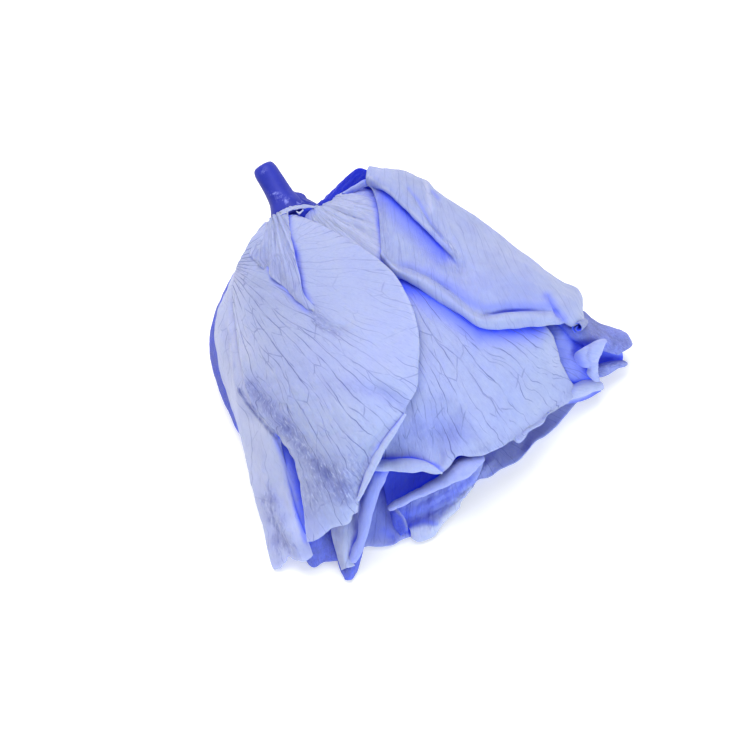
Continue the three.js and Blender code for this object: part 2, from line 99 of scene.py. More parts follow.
ROWS = {
    "front": [
        [[265, 223, 27], [278, 219, 30], [288, 215.5, 31.2], [303, 218, 31]],
        [[249, 245, 27], [275, 240, 32], [300, 232, 34], [325, 227, 33.5]],
        [[236, 270, 25.5], [270, 265, 32.5], [315, 258, 36], [365, 250, 36]],
        [[232, 300, 24], [275, 300, 33], [335, 290, 37.5], [396, 277, 37]],
        [[238, 340, 23.6], [285, 342, 33], [350, 335, 38], [417, 325, 36.5]],
        [[245, 385, 21.2], [290, 390, 30.5], [355, 385, 36], [409, 378, 35], [417, 375, 34.2], [416, 375, 33.2]],
        [[256, 412, 19.6], [300, 420, 27.9], [355, 422, 32.8], [398, 416, 31.6], [406, 413, 30.8],
         [404, 414, 29.6]],
        [[276, 433, 18.6], [308, 448, 24.3], [350, 455, 28.4], [377, 448, 28.3], [384, 444, 27.5],
         [382, 445, 26.3]],
        [[294, 462, 16.6], [315, 472, 21], [345, 478, 24.8], [364, 472, 25.6], [371, 469, 25], [369, 470, 23.8]],
        [[303, 500, 13.6], [320, 500, 17.8], [345, 499, 21.2], [357, 492, 22.6], [363, 490, 22], [361, 491, 21]],
        [[308, 542, 11.5], [315, 540.5, 12.2], [322, 536.5, 13.4], [327, 531, 14], [331, 527.5, 14.5],
         [338, 525, 15.3], [345, 524, 15.8], [350, 520, 16.4], [352, 514, 17], [357, 511, 17.3], [354, 505, 18],
         [358, 501, 18.6]],
    ],
    "crumple": [
        [[261, 228, 27.6], [270, 218.5, 30.6], [280, 212.5, 31.8], [288, 212, 32]],
        [[249, 246, 27.8], [270, 240, 32.5], [291, 238, 34.2]],
        [[251, 256, 29.5], [275, 258, 33.8], [296, 255, 35.8]],
        [[278, 281, 33.8], [288, 278, 35.6], [300, 276, 36.6]],
        [[294, 297, 35.4], [299, 296, 36.6], [303, 293, 36.9]],
        [[305.5, 308, 36.2], [309, 307, 36.8], [312.5, 304.5, 36.9]],
        [[315.5, 316.5, 35.9], [317.5, 316, 36.3], [319.5, 314.5, 36.2]],
    ],
    "lip": [
        [[276, 214, 31.3], [279, 217, 32]],
        [[284, 209.3, 31.5], [287, 213, 32.2]],
        [[291, 206.8, 31.6], [292.5, 210.2, 32]],
        [[303, 205.3, 31.2], [303.5, 208.4, 31.5]],
        [[312, 205.8, 30.6], [312.5, 208, 30.8]],
        [[318, 207, 30], [318.5, 208, 30]],
    ],
    "chip": [
        [[296, 210.5, 31.6], [297.5, 213, 31.7]],
        [[299.5, 212, 31.8], [299.5, 214.2, 31.8]],
        [[303, 209, 31.6], [303.8, 210.2, 31.6]],
    ],
    # A dark sheet in the notch by the stem, dyed past full: painted shade.
    "hollow": [
        [[284, 220, 29.6], [287, 209, 29.4]],
        [[293, 222, 30], [297, 207.5, 29.4]],
        [[301, 223, 30], [306, 207, 29.4]],
        [[309, 221, 29.9], [317, 208, 29]],
    ],
    "left": [
        [[272, 226, 20], [267, 226, 25], [266, 228, 26.6], [264, 229, 27]],
        [[257, 252, 16], [252, 247, 22], [251, 248, 26], [254, 247, 26.4]],
        [[244, 274, 12], [238, 274, 20], [238, 273, 24.6], [242, 272, 25.4]],
        [[228, 302, 9], [222, 301, 17], [227, 301, 22.4], [236, 301, 24]],
        [[222, 340, 6], [215.5, 336, 14], [227, 338, 21.6], [241, 340, 23.4]],
        [[230, 388, 4], [224, 383, 11], [234, 386, 17.6], [249, 387, 21.2]],
        [[243, 430, 3], [238.5, 428, 8], [250, 424, 14.5], [266, 420, 19.2], [282, 426, 19.6]],
        [[250, 456, 2.6], [245, 450, 6.8], [258, 447, 12], [273, 443, 17], [281, 440, 18]],
        [[257, 488, 2], [253, 482, 4.6], [266, 477, 9], [281, 471, 13], [287, 468, 13.6]],
        [[264, 524, 1.2], [261, 518, 2.6], [274, 513, 6.5], [290, 507, 9.6], [298, 504, 9.4]],
        [[268, 548, 0.8], [266, 543, 1.3], [279, 540, 4.2], [295, 534, 7.4], [305, 530, 7.2]],
        [[271, 564, 0.5], [274, 570, 0.6], [280, 569.5, 1.2], [286, 563, 2.6], [288, 557, 3.6], [294, 559, 4.2],
         [301, 562, 4.6], [307, 560, 5], [313, 555, 5.4]],
    ],
    "slitPetal": [
        [[262, 400, 15], [280, 395, 19], [300, 390, 20]],
        [[268, 430, 13], [279, 436, 16.8], [300, 430, 18]],
        [[276, 470, 9], [290.5, 470, 13.2], [306, 466, 13]],
        [[286, 505, 6], [302.5, 505, 10.2], [314, 500, 9]],
        [[292, 545, 2], [306, 546, 5], [314, 536, 6]],
    ],
    "farLeft": [
        [[270, 236, 16], [264, 234, 21], [266, 232, 24]],
        [[246, 278, 7], [228, 288, 12], [228, 286, 18]],
        [[238, 330, 3], [212, 330, 8], [218, 326, 15]],
        [[240, 372, 1.5], [213, 368, 5.5], [221, 366, 11]],
        [[250, 410, 1], [228, 408, 3.5], [236, 412, 8]],
        [[262, 450, 0.8], [246, 446, 2], [254, 448, 5]],
    ],
    "right": [
        [[298, 232, 28], [308, 222, 28], [318, 211, 27.5]],
        [[322, 270, 31.5], [342, 245, 31.8], [362, 231, 31]],
        [[340, 320, 33.5], [375, 290, 34.2], [400, 262, 33], [420, 252, 31.8]],
        [[352, 370, 33], [400, 325, 34.5], [440, 295, 33.5], [475, 280, 31]],
        [[358, 410, 30], [405, 370, 33], [445, 345, 32.3], [485, 325, 29.5], [520, 308, 25]],
        [[362, 440, 26], [400, 420, 26.6], [440, 395, 29.8], [485, 372, 27.5], [525, 350, 24], [551, 331, 20.5]],
        [[366, 450, 23], [410, 438, 23.3], [443, 432, 21.8], [470, 419, 24.1], [510, 403, 20.5], [540, 385, 16.6],
         [560, 361, 14]],
        [[370, 457, 21.2], [410, 459, 20.8], [437, 463, 19.6], [455, 453, 19.8], [484, 449, 17.5], [516, 435, 14],
         [545, 414, 10.8], [573, 383, 8.4]],
        [[372, 463, 21.4], [410, 465, 21.4], [439, 469, 19.2], [457, 455.5, 19.2], [470, 455.2, 18.2],
         [482, 453, 17.3], [490, 449, 16.6], [500, 444.5, 15.5], [508, 439.5, 14.7], [514, 437.5, 14.1],
         [518, 441, 13.6], [522, 438, 13.3], [526, 431, 13], [534, 426, 12], [541, 423, 11.2], [548, 413, 10.5],
         [558, 408, 9], [568, 402, 7.6], [577, 389, 7.6]],
        [[371, 470, 19.8], [410, 471, 19.8], [441, 474, 18], [457, 456, 18.9], [470, 456, 17.9], [482, 453.8, 17],
         [490, 449.8, 16.3], [500, 445.2, 15.2], [508, 440.4, 14.4], [514, 438.4, 13.8], [518, 441.8, 13.3],
         [522, 438.8, 13], [526.5, 431.6, 12.7], [534, 426.8, 11.7], [541, 423.8, 10.9], [548, 413.8, 10.2],
         [558, 408.8, 8.7], [568, 402.8, 7.3], [577.5, 390, 7.3]],
        [[373, 466, 18.4], [410, 467, 18.4], [441, 471, 17.4], [457, 455, 18.5], [470, 455, 17.5],
         [482, 452.8, 16.6], [490, 448.8, 15.9], [500, 444.2, 14.8], [508, 439.4, 14], [514, 437.4, 13.4],
         [518, 440.8, 12.9], [522, 437.8, 12.6], [526, 430.6, 12.3], [534, 425.8, 11.3], [541, 422.8, 10.5],
         [548, 412.8, 9.8], [558, 407.8, 8.3], [568, 401.8, 6.9], [577, 389, 6.9]],
    ],
    "upper": [
        [[383, 262, 34], [381, 259, 35], [381, 254, 35.7], [381, 250, 35.4], [380, 230, 35.2], [378, 210, 34.4],
         [373, 190, 32.6], [369, 182, 32.9], [367.5, 177, 33.8], [367, 173, 33.6], [369, 168, 32.3],
         [372, 173, 28], [376, 184, 23]],
        [[397, 275, 33.6], [396, 275.5, 35.2], [396, 269.5, 36.2], [396, 265, 35.5], [394, 238, 35.6],
         [392, 214, 34.5], [390, 187, 33.9], [385.5, 190.5, 35.1], [387.5, 186, 35.6], [390, 178, 34.7],
         [392, 171, 31.5], [394, 180, 26], [398, 196, 20.5]],
        [[421, 286, 33.4], [420, 287.5, 34.6], [420, 281, 35.7], [420, 276, 34.9], [416, 252, 34.8],
         [412, 233, 34], [410, 205, 33.4], [405.5, 209, 34.9], [408, 203.5, 35.5], [413, 192, 34.2],
         [418, 178, 29.5], [420, 186, 24], [422, 208, 16.5]],
        [[444, 301, 32.6], [442, 301.5, 33.6], [442, 295, 34.7], [441, 289.5, 33.9], [438, 268, 33.9],
         [434, 254, 33.4], [432, 228, 32.9], [428, 232, 34.1], [430.5, 227, 34.7], [436, 212, 33.8],
         [441, 196, 28.5], [444, 204, 22], [446, 230, 12.5]],
        [[464, 314, 31.2], [462, 315.5, 32.2], [462, 310, 33.2], [461, 304.5, 32.5], [460, 288, 32.9],
         [458, 277, 32.8], [457, 267, 32.7], [456.5, 260, 33.2], [457, 252, 33.7], [462, 236, 32.2],
         [469, 214, 25], [474, 225, 17.5], [476, 250, 8]],
        [[481, 324, 29.8], [480, 326.5, 30.6], [481, 320.5, 31.7], [482, 315, 31], [483, 298, 31.9],
         [484, 288, 31.9], [485, 279, 31.7], [487, 270, 31.2], [488, 261, 30.4], [490, 247, 28.3],
         [489, 228, 22.5], [492, 240, 15], [494, 262, 6.5]],
        [[513, 324, 26.6], [513, 326.5, 27.3], [514, 317.5, 28.6], [515, 311, 28], [516, 301, 28.6],
         [517, 294, 28.5], [518, 287, 28.1], [519, 280, 27.5], [520, 272, 26.4], [521, 262, 24.5],
         [518, 249, 19.5], [518, 262, 12], [518, 278, 5]],
        [[546, 321, 22.4], [547, 324, 23], [548, 317.5, 24.1], [548, 311.5, 23.5], [548, 304, 23.5],
         [548, 298, 23.2], [549, 292, 22.7], [550, 288, 22.1], [551, 283, 21.2], [552, 279, 19.6], [551, 275, 16],
         [548, 284, 9], [548, 296, 4]],
        [[560, 321, 20.4], [561, 323.5, 20.8], [562, 319, 21.5], [562, 314, 21.3], [563, 309, 21.4],
         [564, 305, 21], [564, 301, 20.5], [564, 296, 19.7], [564, 292, 18.6], [564, 288, 17], [562, 283, 14],
         [558, 288, 8], [557, 300, 3.5]],
        [[564, 323, 19.6], [566, 323.5, 19.8], [569, 322, 20], [572, 319, 19.8], [574, 315, 19.5], [575, 311, 19],
         [576, 307, 18.4], [577, 303, 17.6], [578, 299, 16.6], [578, 295, 15.2], [577, 290, 12.5], [571, 296, 7],
         [569, 306, 3.2]],
        [[572, 327, 17.6], [575, 326, 17.8], [579, 324.5, 17.7], [582, 322.5, 17.3], [583.5, 320, 16.9],
         [584, 318, 16.3], [584, 315.5, 15.7], [583.5, 312.5, 14.9], [583, 309, 14], [582.5, 305, 12.6],
         [581, 300, 10.5], [576, 306, 6], [573, 310, 3]],
    ],
    # The hood's inside, dyed past full to the deepest blue: painted shade.
    "hood": [
        [[306, 222, 27], [307, 216, 26], [311, 210, 24]],
        [[325, 207, 27.5], [327, 199, 27.5], [332, 190, 26.5]],
        [[345, 200, 28], [345, 188, 29], [346, 177, 29.5]],
        [[362, 196, 29], [360, 180, 31], [359, 168, 32]],
        [[380, 200, 29], [376, 185, 31.5], [370, 171, 32.5]],
    ],
    "rim": [
        [[342, 195, 29.8], [344, 193.5, 30.3], [346, 196, 29.8]],
        [[354, 187.5, 31.2], [356, 186, 31.8], [358, 190, 31.2]],
        [[366, 180.5, 32.7], [368, 180, 33.2], [369, 186, 32.3]],
        [[374, 180, 33.3], [376, 182, 33.5], [376, 188, 32.6]],
    ],
    "gathered": [
        [[301, 227, 29.8], [306, 217, 30.2], [314, 209.5, 29.8], [322, 208, 24]],
        [[325, 236, 32], [337, 220, 32.6], [343, 206, 31.6], [340, 195, 28.6]],
        [[345, 250, 33.4], [360, 226, 33.8], [367, 202, 32.6], [366, 182, 30]],
        [[364, 266, 34.7], [380, 240, 34.9], [388, 212, 33], [385, 188, 29.5]],
        [[395, 290, 34], [415, 262, 34], [430, 230, 31.5], [430, 205, 26.5]],
    ],
    "rolledLip": [
        [[392, 400, 15], [378, 450, 13], [384, 488, 10.5], [388, 506, 9.8], [392, 508, 9.2], [394, 509, 8]],
        [[400, 400, 15], [404, 440, 14], [405, 478, 11.5], [404, 496, 10.8], [408, 498.5, 10.8], [408, 501, 9.5]],
        [[408, 402, 15], [420, 430, 14.5], [424, 465, 12.5], [422, 486, 12.2], [426, 490.5, 12.4], [426, 494, 11]],
        [[414, 402, 15], [434, 420, 14.5], [443, 450, 13.5], [443, 473, 14], [444, 481, 14], [444, 486, 12.2]],
        [[418, 402, 15], [444, 415, 14], [459, 440, 13.5], [458, 461, 15], [460, 470, 15], [459, 481, 12.5]],
        [[420, 400, 15], [452, 408, 13.5], [474, 430, 13], [478, 457, 14], [480, 460, 14], [478, 466, 12.5]],
    ],
    "lowerLip": [
        [[360, 420, 1.2], [400, 405, 1.2], [450, 385, 1.2]],
        [[392, 500, 5], [420, 488, 5.5], [448, 476, 6], [484, 458, 5.8]],
        [[398, 512, 4], [420, 503, 4.5], [444, 492, 5], [480, 472, 4.6]],
        [[404, 522, 2.8], [422, 515, 3.2], [440, 508, 3.6], [476, 481, 3.6]],
        [[410, 530, 2.8], [420, 526, 3.2], [432, 525, 3.2], [443, 518, 3.2], [472, 488, 3]],
        [[411, 538, 1.4], [418, 542, 1], [426, 541, 1], [434, 536, 1], [440, 528, 1.4], [448, 517, 1.6],
         [458, 509, 1.8], [462, 500, 2.2], [470, 492, 2.2], [475, 484, 2.4]],
    ],
    "lowerLeftLip": [
        [[340, 420, 1.2], [370, 410, 1.2], [400, 400, 1.2]],
        [[362, 500, 4.5], [385, 490, 4], [407, 498, 3.5]],
        [[364, 525, 3], [385, 520, 2.5], [409, 522, 2.2]],
        [[362, 549, 1.2], [368, 546.5, 1.2], [376, 547.5, 1], [390, 546, 1], [400, 541, 1.2], [413, 536, 1.4]],
    ],
    "lowerLeftTip": [
        [[290, 430, 1.5], [330, 420, 1.2]],
        [[300, 520, 7], [328, 510, 7]],
        [[305, 545, 4], [322, 538, 4.5], [338, 530, 5]],
        [[307, 560, 1.4], [313, 567, 0.8], [322, 563, 1], [333, 561, 1.4], [344, 560, 1.8]],
    ],
    "broadRoll": [
        [[322, 440, 14], [340, 435, 17], [360, 430, 16]],
        [[330, 490, 11], [345, 485, 13.6], [362, 485, 12]],
        [[331, 514, 9.4], [343, 511, 11.8], [360, 512, 10.6]],
        [[331, 530, 7.6], [345, 528, 10.2], [361, 532, 9]],
        [[334, 548, 5], [344, 546, 7.2], [356, 548, 6.4]],
        [[338, 562, 2.8], [345, 560, 4.6], [352, 560, 4]],
        [[341, 570.5, 1.6], [346, 569, 3.4], [351, 567.5, 3.4], [355.5, 565.5, 2.6]],
    ],
    "rollTip": [
        [[334, 530, 6], [346, 525, 7], [366, 520, 6]],
        [[338, 558, 1.8], [350, 552, 3.2], [363, 546, 3]],
        [[341, 570, 1], [350, 566, 2.4], [360, 560, 1.8]],
        [[344, 575, 0.8], [350, 573, 1.6], [357, 570, 1]],
        [[346, 579, 0.5], [349, 580, 0.8], [353, 576, 0.6]],
    ],
    "underRight": [
        [[316, 262, 14], [330, 250, 15], [345, 240, 17]],
        [[340, 330, 3], [380, 300, 4], [420, 270, 9]],
        [[400, 400, 1.2], [450, 365, 1.2], [510, 320, 6]],
        [[445, 440, 1.2], [500, 410, 1.2], [560, 365, 3]],
        [[462, 470, 1.4], [505, 450, 1], [545, 422, 1], [580, 390, 2.8]],
        [[472, 487, 1.2], [478, 480, 1.2], [490, 477, 1], [500, 470, 1], [510, 465, 1], [520, 459, 1],
         [529, 449, 1.2], [536, 442, 1.2], [546, 436, 1.2], [556, 427, 1.4], [570, 411, 1.8], [579, 401, 2.4],
         [592, 397, 2.8]],
    ],
    "pocket": [
        [[520, 335, 14], [525, 318, 17], [530, 300, 15], [534, 290, 10]],
        [[548, 365, 10], [550, 345, 14.5], [553, 324, 17], [560, 306, 13]],
        [[566, 382, 7.6], [566, 360, 12], [568, 338, 15], [578, 318, 12]],
        [[582, 385, 6.4], [578, 366, 9.6], [580, 348, 12.4], [592, 332, 11]],
        [[598, 384, 5.6], [596, 370, 7], [598, 356, 9.4], [606, 338, 9.6]],
    ],
    "frill": [
        [[603.5, 340, 14.6], [605, 340.5, 14.5], [606, 342, 14]],
        [[594, 342.5, 15.4], [599, 344, 15.8], [604, 345.5, 14.4]],
        [[584, 347.5, 15], [593, 350, 15.4], [601.5, 350.5, 13.8]],
        [[575.5, 353, 13.6], [588, 357, 14.2], [598.5, 358, 12.6]],
        [[576.5, 360.5, 12.2], [588, 361, 12.8], [597.5, 362, 11.4]],
        [[583.5, 366.5, 10.8], [591, 365.5, 11.6], [597.5, 366.5, 10.4]],
        [[587.5, 367, 10.6], [592, 369, 11], [598, 370.5, 9.6]],
        [[587, 373, 9.4], [592, 374, 9.8], [598.5, 375, 8.6]],
        [[594.5, 381, 8], [597, 381, 8], [599.5, 381.5, 7.4]],
    ],
    "rightEnd": [
        [[548, 330, 14.6], [552, 318, 17.4], [556, 304, 14], [560, 296, 8]],
        [[566, 338, 14], [570, 327, 17], [578, 314, 14.6], [583, 311, 9], [580, 318, 5]],
        [[583, 345, 13], [586, 337, 15.4], [592, 327, 13], [597, 322, 8], [594, 328, 4]],
        [[596, 350, 11], [600, 340, 13.6], [606, 332, 11.4], [611, 327, 7], [608, 333, 3]],
        [[607, 352, 9.4], [612, 346, 10.6], [621, 337, 9], [627, 333.5, 5.6], [621, 339, 2.6]],
        [[618, 355, 7.6], [623.5, 352, 7.6], [630, 348, 6.8], [633, 343, 4.8], [626, 345, 2.2]],
    ],
    "pocketBack": [
        [[560, 345, 7], [590, 338, 8], [606, 336, 8]],
        [[562, 362, 4.4], [596, 358, 5], [622, 352, 5]],
        [[566, 376, 2.6], [598, 372, 2.6], [622, 364, 2.4]],
    ],
    "corner": [
        [[540, 408, 5], [544, 398, 8], [546, 386, 9.4]],
        [[566, 404, 3.4], [567, 397, 6], [570, 388, 7.4], [572, 381, 7]],
        [[576, 402, 2.8], [578, 396, 4.8], [580, 388, 6], [583, 382, 5.6]],
        [[588, 398.5, 2.4], [590, 394, 3.6], [592, 388, 4.6], [594, 382, 4.4]],
        [[600, 391, 2.6], [601, 389, 3.2], [601, 386, 3.4], [600, 383, 3]],
    ],
    "fin": [
        [[390, 496, 6], [393, 503, 8.8]],
        [[391, 514, 5], [400, 511, 8]],
        [[395, 526, 3], [406, 519, 6]],
        [[402, 534, 1.6], [409, 529, 3.8]],
    ],
}

# Rolled margins: [x, y, height, radius in mm] along the middle of each tube.
ROLLS = {
    "cornerRoll": [
        [565, 397.5, 6.4, 0.5], [572, 393, 6.8, 0.95], [581, 388.5, 6.4, 1.15], [590, 385.5, 5.6, 1],
        [597, 385.5, 4.8, 0.7], [602, 388, 4, 0.25],
    ],
    "rightEndRoll": [
        [596, 372, 5.4, 0.8], [602, 370, 5.2, 1], [610, 367, 4.8, 1], [618, 364.6, 4.4, 0.8],
        [624, 363.8, 4, 0.65], [627.5, 363.6, 3.8, 0.4],
    ],
    "curl": [
        [585, 321.5, 15.4, 0.5], [581.5, 325, 16.8, 0.9], [578, 328, 18.2, 1.0],
    ],
    "lipRoll": [
        [389, 508.5, 9.8, 0.35], [396, 504.5, 10.6, 0.62], [410, 497, 11.6, 0.68], [428, 488.5, 12.8, 0.8],
        [443, 480.5, 14, 1.05], [454, 472.5, 14.9, 1.4], [463, 467.5, 15.2, 1.45], [471, 462.8, 15.2, 1.05],
        [477, 460.4, 15, 0.6], [483, 458.4, 14.8, 0.15],
    ],
    "stripRoll": [
        [368, 465, 20.8, 0.9], [385, 465.4, 20.9, 1], [410, 465.4, 20.8, 1.02], [425, 466.2, 20.4, 0.85],
        [434, 469, 19.8, 0.5], [442, 473.5, 19, 0.12],
    ],
    "marginRoll": [
        [405, 414, 31.2, 0.12], [397.5, 425, 30.6, 0.38], [387, 440, 28.9, 0.48], [377, 457, 27, 0.54],
        [369, 474, 25.4, 0.54], [362.5, 490, 23.4, 0.45], [357, 503, 20.8, 0.22],
    ],
    "bandRoll": [
        [383, 462, 19.4, 1.35], [378, 474, 18.6, 1.35], [370.5, 491, 16.8, 1.3], [366, 512, 14, 1.1],
        [363.5, 528, 11.6, 0.75], [361.5, 537, 9.8, 0.62], [357, 549, 7, 0.68], [353, 560, 4.4, 0.5],
    ],
}

# How each petal is finished: the size of its grid, the point its veins fan out from, the dye of its
# outer and inner faces, and how strongly its veins show. Deep dye, as on the hood, hollow, farLeft and
# rolledLip, is painted shade as well as dye. The rest is explained in hand_laid_sheet.
LOOKS = {
    "front": dict(size=(160, 200), focus=(222, 262), dye=(0.0, 0.6), veins=1.0, tip=0.12),
    "crumple": dict(size=(110, 110), focus=(268, 190), dye=(0.02, 0.3), veins=0.6, tip=0.1, pale=0.3, pleats=0.3,
                    vein_share=2.2),
    "lip": dict(size=(16, 60), focus=(268, 190), dye=(0.0, 0.3), veins=0.1, pale=0.3),
    "chip": dict(size=(8, 20), focus=(268, 190), dye=(-0.4, 0.0), veins=0.0, pale=1.0),
    "hollow": dict(size=(30, 40), focus=(268, 190), dye=(1.5, 0.5), veins=0.1),
    "left": dict(size=(130, 190), focus=(238, 246), dye=(0.0, 0.45), veins=0.45, tip=0.4, pale=0.7),
    "slitPetal": dict(size=(40, 80), focus=(262, 330), dye=(0.1, 0.3), veins=0.3, tip=0.1),
    "farLeft": dict(size=(50, 80), focus=(260, 220), dye=(0.55, 0.4), veins=0.5, tip=0.1, shade=0.25, turned=-1.0),
    "right": dict(size=(190, 150), focus=(372, 240), dye=(0.04, 0.8), veins=1.0, pale=0.25, shade=0.09),
    "upper": dict(size=(230, 190), focus=(380, 30), dye=(0.02, 0.45), veins=0.4, shade=0.14, vein_share=2.4,
                  aligned=True),
    "hood": dict(size=(60, 80), focus=(318, 214), dye=(2.0, 0.3), veins=0.2, tip=0.05),
    "rim": dict(size=(24, 50), focus=(300, 240), dye=(0.16, 0.4), veins=0.2),
    "gathered": dict(size=(130, 110), focus=(296, 194), dye=(-0.1, 0.4), veins=0.25, tip=0.1, pale=0.45,
                     pleats=0.24, vein_share=2.0),
    "rolledLip": dict(size=(90, 80), focus=(400, 380), dye=(0.85, 0.9), veins=0.2),
    "lowerLip": dict(size=(110, 110), focus=(425, 380), dye=(0.2, 0.1), veins=0.35, tip=0.1, pleats=0.11,
                     vein_share=1.6),
    "lowerLeftLip": dict(size=(60, 70), focus=(385, 400), dye=(0.3, 0.2), veins=0.4, tip=0.1),
    "lowerLeftTip": dict(size=(50, 60), focus=(318, 420), dye=(0.6, 0.3), veins=0.4, tip=0.1, shade=0.5),
    "broadRoll": dict(size=(80, 100), focus=(348, 380), dye=(0.0, 0.6), veins=0.3, tip=0.12, pale=0.3),
    "rollTip": dict(size=(36, 60), focus=(355, 450), dye=(0.75, 0.3), veins=0.3, tip=0.05, shade=0.5),
    "underRight": dict(size=(100, 90), focus=(400, 330), dye=(0.12, 0.3), veins=0.5, tip=0.06, pale=0.5),
    "pocket": dict(size=(80, 80), focus=(500, 330), dye=(0.45, 0.3), veins=0.5, shade=0.14),
    "frill": dict(size=(50, 90), focus=(500, 330), dye=(0.08, 0.4), veins=0.15, tip=0.05, pale=0.15, aligned=True),
    "rightEnd": dict(size=(80, 80), focus=(540, 290), dye=(0.4, 0.5), veins=0.3, tip=0.05),
    "pocketBack": dict(size=(40, 40), focus=(540, 350), dye=(0.55, 0.3), veins=0.2),
    "corner": dict(size=(50, 70), focus=(500, 380), dye=(0.1, 0.5), veins=0.2, tip=0.05, pale=0.4),
    "cornerRoll": dict(size=(40, 60), focus=(500, 380), dye=(0.0, 0.6), veins=0.15, pale=0.35),
    "rightEndRoll": dict(size=(40, 60), focus=(500, 380), dye=(0.26, 0.6), veins=0.15, pale=0.2, shade=0.38),
    "curl": dict(size=(44, 40), focus=(600, 300), dye=(0.02, 0.7), veins=0.1, shade=0.3, turns=1.3, shrink=0.25),
    "lipRoll": dict(size=(44, 110), focus=(400, 380), dye=(0.28, 0.8), veins=0.2, pale=0.6),
    "fin": dict(size=(24, 50), focus=(380, 470), dye=(0.9, 0.5), veins=0.2, shade=0.35),
    "stripRoll": dict(size=(40, 80), focus=(372, 240), dye=(0.04, 0.7), veins=0.1),
    "marginRoll": dict(size=(40, 100), focus=(222, 262), dye=(-0.05, 0.7), veins=0.1, pale=0.15),
    "bandRoll": dict(size=(44, 110), focus=(390, 400), dye=(0.32, 0.8), veins=0.15),
}

# Petals laid by formula round the bloom's axis. Fullness is their depth as a share of their width.
BACK_PETALS = [
    dict(angle=8, base_width=0.75, spread=50, reach=27, radius=20, flare=-2, fullness=0.8),
    dict(angle=168, base_width=0.7, spread=42, reach=42, radius=20.5, flare=1, fullness=0.8),
    dict(angle=205, base_width=0.7, spread=52, reach=44, radius=22, flare=3, fullness=0.92),
    dict(angle=262, base_width=0.7, spread=54, reach=46, radius=22.5, flare=3, fullness=1.02),
    dict(angle=320, base_width=0.7, spread=54, reach=43.5, radius=22.5, flare=3, fullness=0.92),
]
BACK_GRID = (70, 70)
BACK_DYE = (0.12, 0.42)
INNER_COUNT = 14
INNER_GRID = (44, 40)

# Painted shade in deeper blue on outer faces, and painted highlights where the amount is below zero,
# as (line on the drawing, amount, half-width in drawing units).
SHADE_AND_HIGHLIGHT_STROKES = {
    "upper": [
        ([[384, 200], [405, 222], [427, 243], [440, 256]], 0.45, 10), ([[460, 285], [520, 300]], 0.1, 22),
        ([[402, 266], [430, 274], [455, 291], [474, 306]], 0.25, 6),
        ([[484, 308], [512, 306], [545, 308]], 0.25, 5), ([[546, 296], [555, 310], [563, 320]], 0.45, 4),
        ([[374, 182], [384, 193], [396, 204]], 0.3, 4), ([[494, 319], [520, 316], [548, 317.5]], -0.15, 3.5),
        ([[392, 268], [412, 273], [436, 285], [458, 301], [476, 316]], -0.12, 3.5),
        ([[425, 180], [428, 192], [431, 212]], -0.3, 1.8), ([[452, 246], [458, 256]], -0.3, 2),
        ([[432, 192], [438, 199]], 0.35, 2), ([[408, 189], [419, 202], [429, 221], [442, 238]], 0.3, 1.8),
        ([[369, 176], [379, 184.5], [388, 190], [400, 201], [414, 214], [430, 230]], -0.3, 1.6),
    ],
    "right": [
        ([[396, 282], [430, 300], [480, 333], [540, 331]], 0.6, 11),
        ([[400, 432], [430, 425], [455, 435]], 0.18, 18),
        ([[374, 458.5], [412, 458], [434, 464.5], [441, 470]], 0.6, 2), ([[545, 335], [556, 365]], -0.2, 8),
        ([[410, 465], [436, 470]], -0.2, 3),
    ],
    "front": [
        ([[252, 385], [270, 405], [290, 428]], 0.1, 9), ([[288, 428], [302, 446], [345, 492]], 0.1, 12),
        ([[305, 520], [330, 505], [350, 495]], 0.05, 25), ([[350, 384], [380, 392], [410, 408]], 0.1, 8),
        ([[238, 275], [232, 310], [242, 350]], -0.3, 14), ([[288, 216], [292, 240], [297, 255]], 0.25, 3),
        ([[276, 435], [285, 441], [291, 455], [299, 480], [304, 500]], -0.15, 4),
    ],
    "left": [
        ([[276, 437], [284, 456], [290, 474], [299, 500], [306, 528]], 0.55, 3.5),
        ([[298, 505], [305, 540]], 0.5, 5), ([[236, 330], [243, 380], [252, 420], [262, 470]], -0.25, 10),
        ([[284, 492], [292, 515], [302, 545]], -0.25, 4),
    ],
    "gathered": [
        ([[304, 218], [314, 211]], 0.35, 5), ([[370, 190], [377, 215], [382, 240]], 0.25, 5),
        ([[345, 226], [362, 236], [378, 244]], -0.08, 8),
    ],
    "slitPetal": [([[279, 436], [286, 456]], -0.2, 5), ([[290, 450], [297, 476], [303, 505], [307, 540]], 0.42, 7)],
    "farLeft": [([[222, 290], [213, 320], [212, 350], [218, 385], [230, 415]], 1.0, 20)],
    "fin": [([[396, 509], [404, 516], [408, 528]], -0.7, 1.8)],
    "lowerLeftLip": [([[366, 545], [390, 543], [410, 536]], -0.14, 5), ([[384, 530], [394, 538]], 0.2, 4)],
    "corner": [([[572, 404], [586, 400], [602, 391]], 0.8, 4)],
    "frill": [([[574, 356], [581, 364]], 0.4, 6)],
    "pocket": [([[588, 370], [596, 380]], 0.5, 6)],
    "lowerLip": [
        ([[440, 526], [448, 517], [457, 507], [470, 490]], -0.5, 4.5), ([[415, 535], [430, 533]], -0.65, 6.5),
        ([[411, 526], [424, 521.5], [437, 524]], 0.35, 2.5), ([[408, 515], [430, 506], [470, 482]], 0.3, 7),
    ],
}
